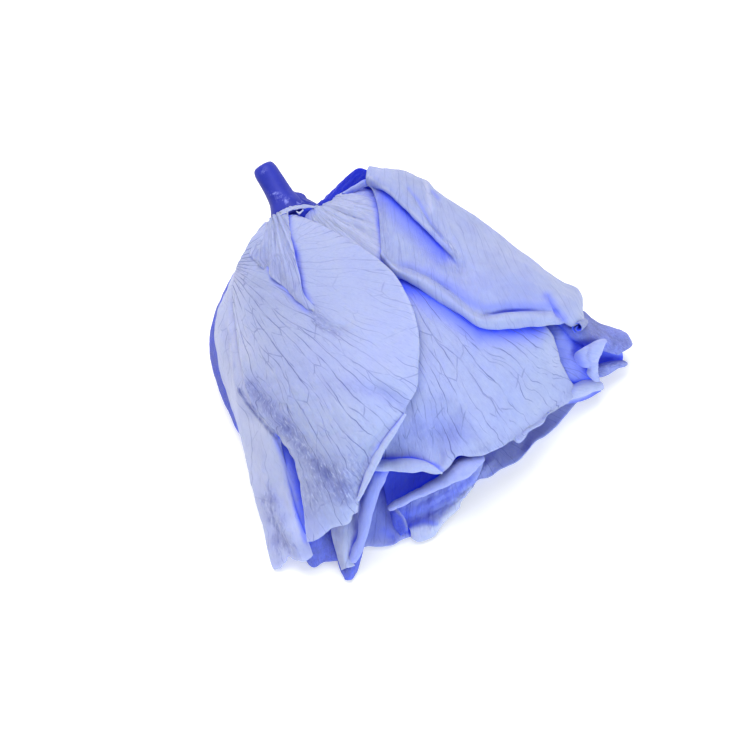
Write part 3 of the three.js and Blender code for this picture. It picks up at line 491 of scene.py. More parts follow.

# Painted grey shade on outer faces, darker bands and dark lines between petals, in the same terms.
PAINTED_SHADE_STROKES = {
    "front": [
        ([[250, 384], [268, 405], [288, 430]], 0.4, 8), ([[288, 428], [302, 446], [345, 494]], 0.4, 9),
        ([[300, 500], [330, 480], [355, 470]], 0.3, 28), ([[330, 384], [380, 393], [410, 408]], 0.18, 8),
        ([[262, 300], [300, 302], [332, 326], [345, 330]], 0.12, 8),
        ([[303, 297], [313, 313], [324, 321]], 0.4, 2.5),
        ([[243, 390], [248, 400], [259, 414], [270, 427], [279, 437]], 0.6, 1.4),
        ([[314, 321], [324, 329], [338, 334]], 0.35, 2.5),
    ],
    "left": [
        ([[277, 438], [285, 457], [291, 474], [299, 497], [305, 520]], 0.8, 1.3),
        ([[240, 390], [246, 401], [257, 415], [268, 428], [277, 438]], 0.8, 1.6),
        ([[266, 500], [280, 535], [296, 550]], 0.36, 9), ([[258, 440], [266, 480], [284, 515]], 0.16, 8),
        ([[228, 330], [236, 380], [250, 415]], 0.2, 6), ([[276, 545], [280, 560]], 0.3, 6),
        ([[250, 254], [252, 262]], 0.8, 3),
    ],
    "crumple": [([[258, 250], [280, 270], [305, 300]], 0.2, 9)],
    "slitPetal": [([[290, 450], [297, 476], [303, 505], [307, 540]], 0.3, 7)],
    "farLeft": [([[222, 290], [213, 320], [212, 350], [218, 385], [230, 415]], 0.28, 20)],
    "corner": [([[572, 404], [586, 400], [602, 391]], 0.4, 4)],
    "right": [
        ([[415, 392], [455, 400], [470, 425], [482, 448]], 0.1, 4),
        ([[405, 440], [430, 430], [450, 438]], 0.12, 16),
        ([[480, 452], [515, 436], [545, 418], [575, 392]], 0.12, 6),
    ],
    "upper": [([[376, 190], [380, 225], [384, 255]], 0.12, 8), ([[432, 226], [446, 240], [458, 256]], 0.2, 3)],
    "rightEnd": [([[585, 325], [605, 335], [622, 345]], 0.7, 16)],
    "underRight": [([[480, 470], [540, 425], [580, 395]], 0.06, 12)],
}

# Where outer faces show their veins less, in the same terms.
FAINT = {
    "front": [([[300, 250], [350, 285], [392, 340]], 0.7, 40)],
    "upper": [([[470, 300], [540, 290]], 0.5, 30)],
}

# Folds pressed into the petals, in the same terms, with their height in mm as the amount.
FOLDS = {
    "front": [
        ([[287, 218], [291, 242], [297, 262], [300, 285], [303, 300]], -0.35, 4),
        ([[300, 240], [305, 265], [307, 290], [312, 312]], 0.25, 7),
        ([[308, 308], [318, 316], [330, 327], [338, 330], [350, 322]], -0.5, 3.5),
        ([[314, 312], [322, 318], [330, 322]], 0.4, 4), ([[335, 322], [350, 326], [372, 326]], 0.3, 5),
        ([[362, 386], [385, 394], [408, 407]], -0.9, 8),
        ([[404, 418], [392, 431], [380, 448], [371, 468], [361, 492]], 0.45, 3),
        ([[396, 418], [384, 431], [372, 448], [363, 468], [353, 492]], -0.4, 3.5),
        ([[372, 372], [395, 378], [414, 385]], 0.5, 9), ([[250, 382], [270, 405], [290, 432]], -0.6, 7),
        ([[285, 425], [300, 445], [322, 470], [345, 494]], -0.75, 8),
        ([[285, 385], [315, 425], [345, 465]], 0.35, 10), ([[268, 405], [290, 440], [306, 475]], 0.3, 6),
        ([[240, 290], [250, 330], [256, 370]], 0.3, 6), ([[230, 280], [262, 288], [300, 302]], -0.18, 3),
    ],
    "left": [
        ([[226, 290], [224, 330], [230, 375], [240, 415]], -0.45, 3),
        ([[233, 290], [236, 335], [244, 380], [256, 415]], -0.3, 3),
        ([[222, 340], [234, 385], [246, 430], [256, 480]], 0.4, 5),
        ([[262, 440], [270, 480], [282, 520], [296, 552]], 0.5, 6), ([[266, 515], [276, 535], [292, 552]], -0.8, 6),
        ([[270, 470], [282, 500], [298, 540]], -0.4, 5),
    ],
    "right": [
        ([[420, 330], [432, 350], [445, 375], [455, 398], [470, 420], [482, 448]], 0.45, 9),
        ([[437, 440], [440, 455], [441, 470]], -0.9, 5), ([[490, 380], [505, 400], [520, 430]], -0.3, 8),
        ([[505, 395], [512, 412], [514, 436]], -0.25, 4), ([[412, 400], [424, 425], [430, 455]], 0.3, 7),
        ([[440, 330], [480, 352], [530, 360]], 0.2, 9),
    ],
    "upper": [
        ([[548, 297], [556, 310], [564, 321]], -1.1, 3),
        ([[396, 264], [412, 268], [432, 278], [452, 292], [467, 305]], -0.5, 2),
        ([[394, 269], [412, 273.5], [433, 284], [454, 299], [470, 312]], 0.35, 3),
        ([[482, 316], [500, 312.5], [520, 310.5], [548, 312]], -0.6, 2),
        ([[486, 320], [515, 316], [545, 317.5]], 0.3, 3), ([[536, 292], [544, 304], [552, 315]], 0.4, 5),
        ([[440, 255], [455, 264], [466, 274]], -0.35, 7), ([[470, 262], [474, 285], [478, 305]], 0.2, 5),
        ([[408, 188], [420, 201], [429, 214], [436, 226], [450, 243], [459, 256]], -0.5, 3.5),
        ([[425, 182], [429, 196], [432, 216]], 0.7, 3),
        ([[408, 189], [419, 202], [430, 222], [444, 240]], -0.45, 2.5),
        ([[440, 215], [455, 238], [466, 258]], 0.25, 6),
    ],
    "gathered": [
        ([[320, 208], [335, 213], [350, 221], [365, 233], [379, 241]], -0.45, 3),
        ([[322, 204], [345, 206], [365, 214], [380, 226]], 0.35, 4), ([[335, 196], [352, 195], [372, 202]], 0.3, 4),
    ],
    "rightEnd": [([[568, 326], [578, 332], [586, 330]], 0.6, 4), ([[590, 328], [605, 336], [622, 342]], -0.5, 6)],
    "frill": [([[590, 345], [586, 356], [592, 370]], -0.35, 3)],
    "lowerLeftLip": [([[385, 530], [390, 540], [394, 546]], -0.5, 5)],
    "underRight": [([[478, 478], [482, 470], [492, 462]], 0.5, 5), ([[520, 440], [528, 450]], -0.4, 6)],
}

# Where outer faces are finely crinkled, in the same terms, with the height of the crinkles.
CRINKLES = {
    "front": [
        ([[262, 395], [300, 440], [335, 490]], 0.17, 30), ([[300, 390], [345, 420], [370, 440]], 0.09, 26),
        ([[300, 302], [332, 326], [350, 330]], 0.08, 9),
    ],
    "left": [([[262, 460], [280, 520], [296, 550]], 0.07, 14)],
    "right": [([[395, 440], [430, 430], [455, 430]], 0.07, 20), ([[540, 340], [556, 370]], 0.05, 14)],
    "gathered": [([[330, 205], [350, 215], [365, 225]], 0.07, 14)],
    "lowerLip": [([[430, 500], [460, 490]], 0.12, 22)],
    "upper": [([[460, 262], [500, 285], [540, 300]], 0.04, 16)],
}

# Pale scuffs on the stem, and a painted highlight near its cut end, drawn like the petals' strokes.
SCUFFS_AND_HIGHLIGHT = [([[273, 193], [283, 199], [298, 205], [312, 207]], 1.0, 3.6), ([[260, 168], [264, 172]], 0.7, 2.5)]

# The remnant of a sepal beside the stem, in rows like the petals'.
SEPAL = [
    [[280, 211, 27.5], [285, 200, 29.5], [290.5, 188, 28]],
    [[287, 210, 28], [290, 200, 29.5], [293, 192.5, 28.2]],
    [[296, 208, 28.5], [299, 201, 29.5], [302.5, 194.6, 28.3]],
    [[303, 208, 28.6], [305, 203, 29.4], [307, 199.6, 28.4]],
    [[309, 207, 28.8], [310.5, 204.5, 29.2], [312, 202, 28.6]],
    [[317, 208, 28.8], [318, 207.3, 29], [319.5, 206.3, 28.8]],
]

AXIS = np.array([
    math.cos(BLOOM_TILT) * math.cos(BLOOM_HEADING),
    math.cos(BLOOM_TILT) * math.sin(BLOOM_HEADING),
    -math.sin(BLOOM_TILT),
])
ACROSS = np.array([-math.sin(BLOOM_HEADING), math.cos(BLOOM_HEADING), 0.0])
UPWARD = np.cross(AXIS, ACROSS)
SINE, COSINE = math.sin(ELEVATION), math.cos(ELEVATION)
TO_VIEWER = np.array([0.0, -COSINE, SINE])
# The middle of the drawing, right of and above the receptacle.
MIDDLE_RIGHT = (MIDDLE - RECEPTACLE[0]) / SCALE
MIDDLE_UP = (RECEPTACLE[1] - MIDDLE) / SCALE


def place(points):
    """The points of space that the drawing shows at x, y, at the given heights."""
    x, y, height = np.moveaxis(np.asarray(points, float), -1, 0)
    right, up = (x - MIDDLE) / SCALE, (MIDDLE - y) / SCALE
    depth = (height - DATUM_HEIGHT - (MIDDLE_UP + up) * COSINE) / (SINE - up * COSINE / EYE_DISTANCE)
    shrink = 1 - depth / EYE_DISTANCE
    north = (MIDDLE_UP + up * shrink) * SINE - depth * COSINE
    return np.stack([MIDDLE_RIGHT + right * shrink, north, height], axis=-1)


def on_drawing(points):
    """Where the drawing shows points of space: the inverse of place, without the heights."""
    x, y, height = np.moveaxis(points, -1, 0)
    up = y * SINE + (height - DATUM_HEIGHT) * COSINE
    depth = -y * COSINE + (height - DATUM_HEIGHT) * SINE
    shrink = (1 - depth / EYE_DISTANCE) / SCALE
    return np.stack([MIDDLE + (x - MIDDLE_RIGHT) / shrink, MIDDLE - (up - MIDDLE_UP) / shrink], axis=-1)


def spline(points, count):
    """Centripetal Catmull-Rom through points along the first axis, at even steps of its parameter."""
    points = np.asarray(points, float)
    padded = np.concatenate([[2 * points[0] - points[1]], points, [2 * points[-1] - points[-2]]])
    steps = np.sqrt(np.maximum(np.linalg.norm(np.diff(padded, axis=0), axis=-1), 1e-6))[..., None]
    segments = len(points) - 1
    at = np.linspace(0, segments, count + 1)
    k = np.minimum(at.astype(int), segments - 1)
    f = (at - k).reshape((-1,) + (1,) * (points.ndim - 1))
    p0, p1, p2, p3 = (padded[k + i] for i in range(4))
    d0, d1, d2 = (steps[k + i] for i in range(3))
    m1 = d1 * ((p1 - p0) / d0 - (p2 - p0) / (d0 + d1) + (p2 - p1) / d1)
    m2 = d1 * ((p2 - p1) / d1 - (p3 - p1) / (d1 + d2) + (p3 - p2) / d2)
    return (
        (2 * f**3 - 3 * f**2 + 1) * p1 + (f**3 - 2 * f**2 + f) * m1
        + (-2 * f**3 + 3 * f**2) * p2 + (f**3 - f**2) * m2
    )


def even_spline(points, count):
    """The same curve at even steps of its length."""
    fine = spline(points, 40 * len(points))
    length = np.concatenate([[0], np.cumsum(np.linalg.norm(np.diff(fine, axis=0), axis=-1))])
    at = np.linspace(0, length[-1], count + 1)
    return np.stack([np.interp(at, length, column) for column in fine.T], axis=-1)


def grid_from_rows(rows, across, along, aligned=False):
    """A grid through the rows. Aligned rows match point for point, others by share of their length."""
    curve = spline if aligned else even_spline
    even_rows = np.stack([curve(place(row), across) for row in rows])
    return np.swapaxes(spline(even_rows, along), 0, 1)


def rolled_margin(stations, turns, shrink, across, along):
    """A margin rolled into a tube, by a number of turns and down to a share of its radius."""
    stations = np.asarray(stations, float)
    path = even_spline(np.concatenate([place(stations[:, :3]), stations[:, 3:]], axis=1), along)
    middle, radius = path[:, :3], np.maximum(path[:, 3], 0.1)
    run = unit(np.gradient(middle, axis=0))
    side = unit(np.cross(run, TO_VIEWER))
    front = np.cross(side, run)
    turn = math.radians(-110) + 2 * math.pi * turns * np.linspace(0, 1, across + 1)[:, None, None]
    coil = np.linspace(1, shrink, across + 1)[:, None, None] * radius[None, :, None]
    return middle + coil * (np.cos(turn) * side + np.sin(turn) * front)


def soften(grid, rounds):
    """Smooths a grid's inside, with its border kept."""
    grid = grid.copy()
    for _ in range(rounds):
        around = grid[:-2, 1:-1] + grid[2:, 1:-1] + grid[1:-1, :-2] + grid[1:-1, 2:]
        grid[1:-1, 1:-1] = 0.5 * grid[1:-1, 1:-1] + 0.125 * around
    return grid


def around_axis(along, degrees, radius, fullness):
    """Points round the bloom's axis, at lengths along it from the receptacle."""
    angle = np.radians(degrees)
    return (
        np.array([0, 0, RECEPTACLE_HEIGHT])
        + along[..., None] * AXIS
        + (radius * np.cos(angle))[..., None] * ACROSS
        + (radius * fullness * np.sin(angle))[..., None] * UPWARD
    )


def smooth(value, low, high):
    """A soft step from 0 at low to 1 at high."""
    t = np.clip((value - low) / (high - low), 0, 1)
    return t * t * (3 - 2 * t)


def ripple(points, size, seed, octaves=3):
    """A seeded sum of plane waves, about -1 to 1, with features of the given size in mm."""
    rng = np.random.default_rng(seed)
    total = np.zeros(points.shape[:-1])
    weight_sum = 0
    for octave in range(octaves):
        weight = 0.5**octave
        for _ in range(5):
            direction = rng.normal(size=points.shape[-1])
            direction *= 2 * math.pi * 2**octave / size / np.linalg.norm(direction)
            total += weight * np.sin(points @ direction + rng.uniform(0, 2 * math.pi))
        weight_sum += weight * 1.8
    return total / weight_sum


def unit(vectors):
    return vectors / np.maximum(np.linalg.norm(vectors, axis=-1, keepdims=True), 1e-9)


def normals(grid):
    return unit(np.cross(np.gradient(grid, axis=0), np.gradient(grid, axis=1)))


def sign_of(values):
    return 1.0 if np.mean(values) > 0 else -1.0


def stroke_distance(xy, line):
    """Distance from points of the drawing to a polyline, and how far along it the nearest place is."""
    best = np.full(xy.shape[:-1], 1e9)
    share = np.zeros(xy.shape[:-1])
    line = np.asarray(line, float)
    for k in range(len(line) - 1):
        start, run = line[k], line[k + 1] - line[k]
        t = np.clip(((xy - start) @ run) / (run @ run), 0, 1)
        distance = np.linalg.norm(xy - (start + t[..., None] * run), axis=-1)
        share = np.where(distance < best, (k + t) / (len(line) - 1), share)
        best = np.minimum(distance, best)
    return best, share


def painted(xy, strokes, at_ends=1.0):
    """The sum of soft strokes on the drawing, which fade to the share at_ends towards their ends."""
    total = np.zeros(xy.shape[:-1])
    for line, amount, width in strokes:
        distance, share = stroke_distance(xy, line)
        fade = at_ends + (1 - at_ends) * np.sin(math.pi * np.clip(share, 0.02, 0.98))
        total += amount * np.exp(-(distance / width) ** 2) * fade
    return total


def fan_of(xy, focus):
    """Angle round a petal's focus and the log of the distance from it, along which its veins run."""
    away = xy - np.asarray(focus, float)
    distance = np.maximum(np.linalg.norm(away, axis=-1), 4)
    return np.arctan2(away[..., 1], away[..., 0]), np.log(distance)


def laid_flat(grid, xy):
    """The places on the drawing, carried on at true length where a sheet turns from the viewer."""
    flat = xy.copy()
    seen = normals(grid) @ TO_VIEWER
    seen *= sign_of(seen)
    middle = len(grid) // 2
    for order, back in ((range(middle + 1, len(grid)), -1), (range(middle - 1, -1, -1), 1)):
        heading = np.zeros(xy.shape[1:])
        for i in order:
            step = xy[i] - xy[i + back]
            length = np.linalg.norm(grid[i] - grid[i + back], axis=-1, keepdims=True) * SCALE
            shown = (seen[i] > 0.25)[:, None] | ~heading.any(axis=-1, keepdims=True)
            heading = np.where(shown, 0.8 * heading + 0.2 * unit(step), heading)
            flat[i] = flat[i + back] + np.where(shown, step, unit(heading) * length)
    return xy + soften(flat - xy, 10)


def pressed(grid, facing, name, focus, pleats):
    """The grid with its folds, gentle waves, crinkles and pleats, all as heights over it."""
    xy = on_drawing(grid)
    seed = sum(map(ord, name))
    angle, log_reach = fan_of(laid_flat(grid, xy), focus)
    height = painted(xy, FOLDS.get(name, []), 0.25)
    height += 0.22 * ripple(grid, 22, seed) + 0.07 * ripple(grid, 5, seed + 1)
    height += 0.07 * ripple(np.stack([angle * 40, log_reach * 6], -1), 5, seed + 4)
    height += (0.02 + painted(xy, CRINKLES.get(name, []))) * ripple(grid, 2.0, seed + 6)
    height += pleats * ripple(np.stack([angle * 60, log_reach * 4], -1), 9, seed + 2)
    return grid + facing * normals(grid) * height[..., None]


def ragged(grid, amount, seed):
    """Frays the last margin by moving it in and out along the petal, and keeps it off the table."""
    edge = grid[:, -1]
    tears = ripple(edge, 7, seed) + 0.5 * np.clip(ripple(edge, 2.2, seed + 5, 2), -1, 0.4)
    ends = np.sin(math.pi * np.linspace(0, 1, grid.shape[0])) ** 0.5
    pull = (amount * tears * ends)[:, None] * unit(edge - grid[:, -3])
    fade = smooth(np.linspace(0, 1, grid.shape[1]), 0.85, 1) ** 1.5
    grid = grid + pull[:, None, :] * fade[None, :, None]
    grid[..., 2] = np.maximum(grid[..., 2], GROUND)
    return grid


def hand_laid_sheet(
    name, size, focus, dye, veins, tip=0.0, pale=0.12, shade=0.0, pleats=0.0, vein_share=1.0,
    turned=1.0, aligned=False, turns=0.94, shrink=0.93,
):
    """A petal or roll with its markings, as drawn. Tip is how far its margin is frayed and pleats how
    high its pleats are, in mm. Pale is its share of paler skin, partly painted highlight, and shade its
    share of grey painted shade. Vein_share is the veins' number as a share of the usual, and turned -1.0
    makes the hidden face the outer one.
    """
    across, along = scaled(size)
    if name in ROLLS:
        grid = rolled_margin(ROLLS[name], turns, shrink, across, along)
        facing = sign_of(np.sum(normals(grid) * (grid - grid.mean(axis=0)), -1))
    else:
        grid = soften(grid_from_rows(ROWS[name], across, along, aligned), 3)
        facing = turned * sign_of(normals(grid) @ TO_VIEWER)
    seed = sum(map(ord, name))
    grid = ragged(pressed(grid, facing, name, focus, pleats), tip, seed)
    xy = on_drawing(grid)
    angle, log_reach = fan_of(laid_flat(grid, xy), focus)
    shade_and_highlight, shade_bands, faint = (painted(xy, table.get(name, [])) for table in (SHADE_AND_HIGHLIGHT_STROKES, PAINTED_SHADE_STROKES, FAINT))
    cloud = ripple(grid, 30, seed + 9)
    steps_across, steps_along = (np.arange(count) for count in grid.shape[:2])
    rim = np.minimum.outer(np.minimum(steps_across, steps_across[::-1]), steps_along[::-1])
    # Strokes below zero are painted highlights, paler; above zero they are painted shade, deeper blue.
    pale_and_lit = pale + 0.15 * cloud + 3 * np.maximum(-shade_and_highlight, 0)
    return sheet_of(
        name, grid, facing, (angle * vein_share, log_reach - math.log(vein_share), seed),
        dye=(dye[0] + shade_and_highlight + 0.03 * cloud, dye[1] + 0.05 * cloud),
        pale=(np.clip(pale_and_lit + 0.5 * (1 - smooth(rim, 0, 3)), 0, 1), np.clip(pale_and_lit * 0.4, 0, 1)),
        veined=(veins * np.clip(1 - faint, 0, 1), 0.5 * veins),
        shade=(np.clip(shade + shade_bands, 0, 1), 0.0),
    )


def cupped_sheet(name, petal, size, seed, dye):
    """A cupped petal round the axis, with a rounded tip and a margin that flares and rolls out."""
    across, along = scaled(size)
    side, rise = np.meshgrid(np.linspace(-1, 1, across + 1), np.linspace(0, 1, along + 1), indexing="ij")
    base_width = petal.get("base_width", 0.35)
    width = base_width + (1 - base_width) * smooth(rise, 0, 0.6)
    rng = np.random.default_rng(seed)
    wave = sum(
        rng.uniform(0.3, 1) * np.sin(side * k * 2.4 + rng.uniform(0, 6.3)) / k for k in (1, 2, 3, 5)
    )
    length = petal["reach"] * rise * (1 - 0.14 * np.abs(side) ** 3) + 0.5 * wave * smooth(rise, 0.7, 1)
    bulge = 4 + (petal["radius"] - 4) * np.sin(np.minimum(rise * 1.9, 1) * math.pi / 2)
    lip = petal["flare"] * smooth(rise, 0.65, 1) + petal.get("roll", 0) * smooth(rise, 0.88, 1) ** 2
    radius = bulge + lip + 0.8 * side + 0.35 * wave * smooth(rise, 0.4, 1)
    turn = petal["spread"] * width * side
    grid, halfway_in = (
        around_axis(2 + length, petal["angle"] + turn, radius * share, petal["fullness"]) for share in (1, 0.5)
    )
    grid = grid + (0.12 * ripple(grid, 9, seed + 3))[..., None] * normals(grid)
    facing = sign_of(np.sum(normals(grid) * (grid - halfway_in), -1))
    grid = ragged(grid, 0.35, seed)
    reach = 8 + length
    cloud = ripple(grid, 20, seed + 9)
    return sheet_of(
        name, grid, facing, (np.radians(turn) * radius / reach, np.log(SCALE * reach), seed),
        dye=(dye[0] + 0.04 * cloud, dye[1] + 0.05 * cloud),
        pale=(np.clip(0.1 + 0.15 * cloud, 0, 1), 0.0), veined=(0.9, 0.5), shade=(0.0, 0.0),
    )


def scaled(size):
    return (max(8, round(count * DETAIL)) for count in size)


def sheet_of(name, grid, facing, fan, **markings):
    """A sheet with its markings on both faces. Fan is where its veins run, with a seed for them."""
    shape = grid.shape[:2]
    angle, log_reach, seed = fan
    fan = np.stack([angle, log_reach, np.full(shape, seed % 17)], axis=-1)
    layers = {key: [np.broadcast_to(face, shape) for face in faces] for key, faces in markings.items()}
    return {"name": name, "grid": grid, "facing": facing, "fan": [fan, fan], **layers}


def inner_sheets():
    """The whorls inside the mouth, each petal narrower and turned on from the one before."""
    sheets = []
    for k in range(INNER_COUNT):
        inward = k / (INNER_COUNT - 1)
        petal = {
            "angle": 40 + GOLDEN_ANGLE * k,
            "spread": 55 + 40 * inward,
            "reach": 40 - 3 * inward,
            "radius": 14 - 10.5 * inward,
            "flare": 0.5 - 2 * inward,
            "roll": 1.6 * (1 - inward),
            "fullness": 0.75,
        }
        dye = (0.15 + 0.1 * inward, 0.35)
        sheets.append(cupped_sheet(f"inner_petal_{k + 1:02d}", petal, INNER_GRID, 100 + k, dye))
    return sheets


def quads_of(index):
    """The corners of each cell of a grid of vertex numbers."""
    return np.stack([index[:-1, :-1], index[1:, :-1], index[1:, 1:], index[:-1, 1:]], -1).reshape(-1, 4)


def tree_of(sheets):
    """A search tree of the sheets at every few grid steps."""
    vertices, faces = [], []
    for sheet in sheets:
        coarse = sheet["grid"][::SKIP, ::SKIP]
        index = np.arange(coarse[..., 0].size).reshape(coarse.shape[:2]) + len(vertices)
        faces += quads_of(index).tolist()
        vertices += coarse.reshape(-1, 3).tolist()
    return BVHTree.FromPolygons(vertices, faces)


def tuck_under(sheets, tree):
    """Keeps the sheets under those of the tree where they would come up just above them."""
    for sheet in sheets:
        points = sheet["grid"].reshape(-1, 3)
        for i, point in enumerate(points):
            over = tree.ray_cast(Vector(point), TO_VIEWER)[3]
            under = tree.ray_cast(Vector(point), -TO_VIEWER, TUCK_REACH)[3]
            if over is None and under is not None:
                points[i] -= (under + TUCK_DEPTH) * TO_VIEWER
            elif over is not None and over < TUCK_DEPTH:
                points[i] -= (TUCK_DEPTH - over) * TO_VIEWER
        points[:, 2] = np.maximum(points[:, 2], GROUND)
        sheet["grid"] = points.reshape(sheet["grid"].shape)


def paint_occlusion_shade(sheets):
    """Paints shade where petals lie close together, like ambient occlusion: adds the share of near surroundings to
    the dye value.
    """
    tree = tree_of(sheets)
    turn = np.arange(RAYS) * 2.39996
    rise = np.sqrt(1 - (np.arange(RAYS) + 0.5) / RAYS)
    flat = np.sqrt(1 - rise**2)
    dome = np.stack([flat * np.cos(turn), flat * np.sin(turn), rise], axis=-1)
    for sheet in sheets:
        grid = sheet["grid"]
        coarse = grid[::SKIP, ::SKIP]
        out = normals(grid)[::SKIP, ::SKIP] * sheet["facing"]
        for face, up in enumerate((out, -out)):
            tangent = unit(np.cross(up, [0.36, 0.48, 0.8]))
            frames = np.stack([tangent, np.cross(up, tangent), up], axis=-2)
            closed = np.zeros(coarse.shape[:2])
            for i, j in np.ndindex(closed.shape):
                start = Vector(coarse[i, j] + up[i, j] * 0.3)
                for ray in (dome @ frames[i, j]).tolist():
                    distance = tree.ray_cast(start, ray, NEAR)[3]
                    if distance is not None:
                        closed[i, j] += (1 - distance / NEAR) / RAYS
            spread = stretched(stretched(soften(closed, 2), grid.shape[1]).T, grid.shape[0]).T
            sheet["dye"][face] = sheet["dye"][face] + OCCLUSION_SHADE_STRENGTH * smooth(spread, 0.08, 0.7)


def stretched(rows, count):
    """Rows of values at every few grid steps, filled in to a value at each."""
    at = np.arange(count) / SKIP
    return np.stack([np.interp(at, np.arange(len(row)), row) for row in rows])


def closed_sheet(front, back, facing):
    """The vertices and faces of a closed shell between two grids."""
    n, m = front.shape[:2]
    vertices = np.concatenate([front.reshape(-1, 3), back.reshape(-1, 3)])
    vertices[:, 2] = np.maximum(vertices[:, 2], 0)
    index = np.arange(n * m).reshape(n, m)
    quads = quads_of(index)
    border = np.concatenate([index[:-1, 0], index[-1, :-1], index[:0:-1, -1], index[0, :0:-1]])
    following = np.roll(border, -1)
    other = n * m
    wall = np.stack([border, border + other, following + other, following], -1)
    if facing < 0:
        quads = quads[:, ::-1]
        wall = wall[:, ::-1]
    return vertices, np.concatenate([quads, quads[:, ::-1] + other, wall])


def new_piece(name, vertices, faces, layers, material):
    """A smooth mesh in the scene, with layers of values at its vertices."""
    mesh = bpy.data.meshes.new(name)
    mesh.from_pydata(((vertices - REST) * MM).tolist(), [], faces.tolist())
    for key, values in layers.items():
        kind, field = ("FLOAT", "value") if values.size == len(vertices) else ("FLOAT_VECTOR", "vector")
        layer = mesh.attributes.new(key, kind, "POINT")
        layer.data.foreach_set(field, values.ravel().astype(np.float32))
    mesh.polygons.foreach_set("use_smooth", [True] * len(mesh.polygons))
    mesh.update()
    mesh.materials.append(material)
    piece = bpy.data.objects.new(name, mesh)
    bpy.context.collection.objects.link(piece)
    return piece


def blade(sheet, material):
    """A closed blade on a sheet's grid, thinner at its margins: its first side is the outer face."""
    grid, facing = sheet["grid"], sheet["facing"]
    n, m = grid.shape[:2]
    share_u = np.linspace(0, 1, n)[:, None]
    share_v = np.linspace(0, 1, m)[None, :]
    rim = np.minimum(np.minimum(share_u, 1 - share_u) * n, (1 - share_v) * m)
    half = PETAL_THICKNESS / 2 * (0.45 + 0.55 * smooth(rim, 0, 5))[..., None]
    out = normals(grid) * facing * half
    layers = {key: np.stack(sheet[key]) for key in ("dye", "pale", "veined", "shade", "fan")}
    piece = new_piece(sheet["name"], *closed_sheet(grid + out, grid - out, facing), layers, material)
    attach(piece, "root")
    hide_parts("bloom")


def stem_piece(name, vertices, faces, material):
    piece = new_piece(name, vertices, faces, {"scuffed_and_lit": painted(on_drawing(vertices), SCUFFS_AND_HIGHLIGHT)}, material)
    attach(piece, "root")
    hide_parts("stem")


def stem(material):
    """The stub of stem with its rounded cut end, widening into the calyx cup, and a sepal's remnant."""
    radius = STEM_DIAMETER / 2
    profile = np.array([
        [-STEM_LENGTH, 0.02], [-STEM_LENGTH + 0.05, radius * 0.45], [-STEM_LENGTH + 0.3, radius * 0.82],
        [-STEM_LENGTH + 1.1, radius * 1.01], [-6.8, radius * 1.06], [-4.6, radius * 1.11], [-2.8, radius + 0.45],
        [-0.9, radius + 1.35], [0.15, radius + 1.8], [0.3, radius + 1.2], [0.3, 0.02],
    ])
    around, along = 64, 90
    outline = even_spline(profile, along)
    degrees, length = np.meshgrid(np.linspace(0, 360, around, endpoint=False), outline[:, 0], indexing="ij")
    angle = np.radians(degrees)
    ridged = 1 + 0.02 * np.sin(angle * 5 + 0.4) + 0.015 * np.sin(angle * 3 + length)
    vertices = around_axis(length, degrees, outline[:, 1] * ridged, 1.0) + STEM_ASIDE
    index = np.arange(around * (along + 1)).reshape(around, along + 1)
    following = np.roll(index, -1, axis=0)
    quads = np.stack([index[:, :-1], index[:, 1:], following[:, 1:], following[:, :-1]], -1).reshape(-1, 4)
    stem_piece("stem_stub", vertices.reshape(-1, 3), quads, material)

    grid = soften(grid_from_rows(SEPAL, 14, 26), 2)
    grid += (0.12 * ripple(grid, 3, 7))[..., None] * normals(grid)
    out = normals(grid) * SEPAL_THICKNESS / 2
    stem_piece("sepal_remnant", *closed_sheet(grid + out, grid - out, 1.0), material)


class Value:
    """A node's output. Arithmetic on it lays out Math nodes."""

    def __init__(self, nodes, socket):
        self.nodes, self.socket = nodes, socket

    def __add__(self, other):
        return self.nodes.math("ADD", self, other)

    def __sub__(self, other):
        return self.nodes.math("SUBTRACT", self, other)

    def __rsub__(self, other):
        return self.nodes.math("SUBTRACT", other, self)

    def __mul__(self, other):
        return self.nodes.math("MULTIPLY", self, other)

    def __truediv__(self, other):
        return self.nodes.math("DIVIDE", self, other)

    def ramp(self, low, high, to_low=0.0, to_high=1.0, shape="LINEAR"):
        """The value mapped from low and high to the other two, and kept between them."""
        inputs = {0: self, 1: low, 2: high, 3: to_low, 4: to_high}
        return self.nodes.add("ShaderNodeMapRange", inputs, interpolation_type=shape)

    def output(self, key):
        """Another output of the same node."""
        return Value(self.nodes, self.socket.node.outputs[key])


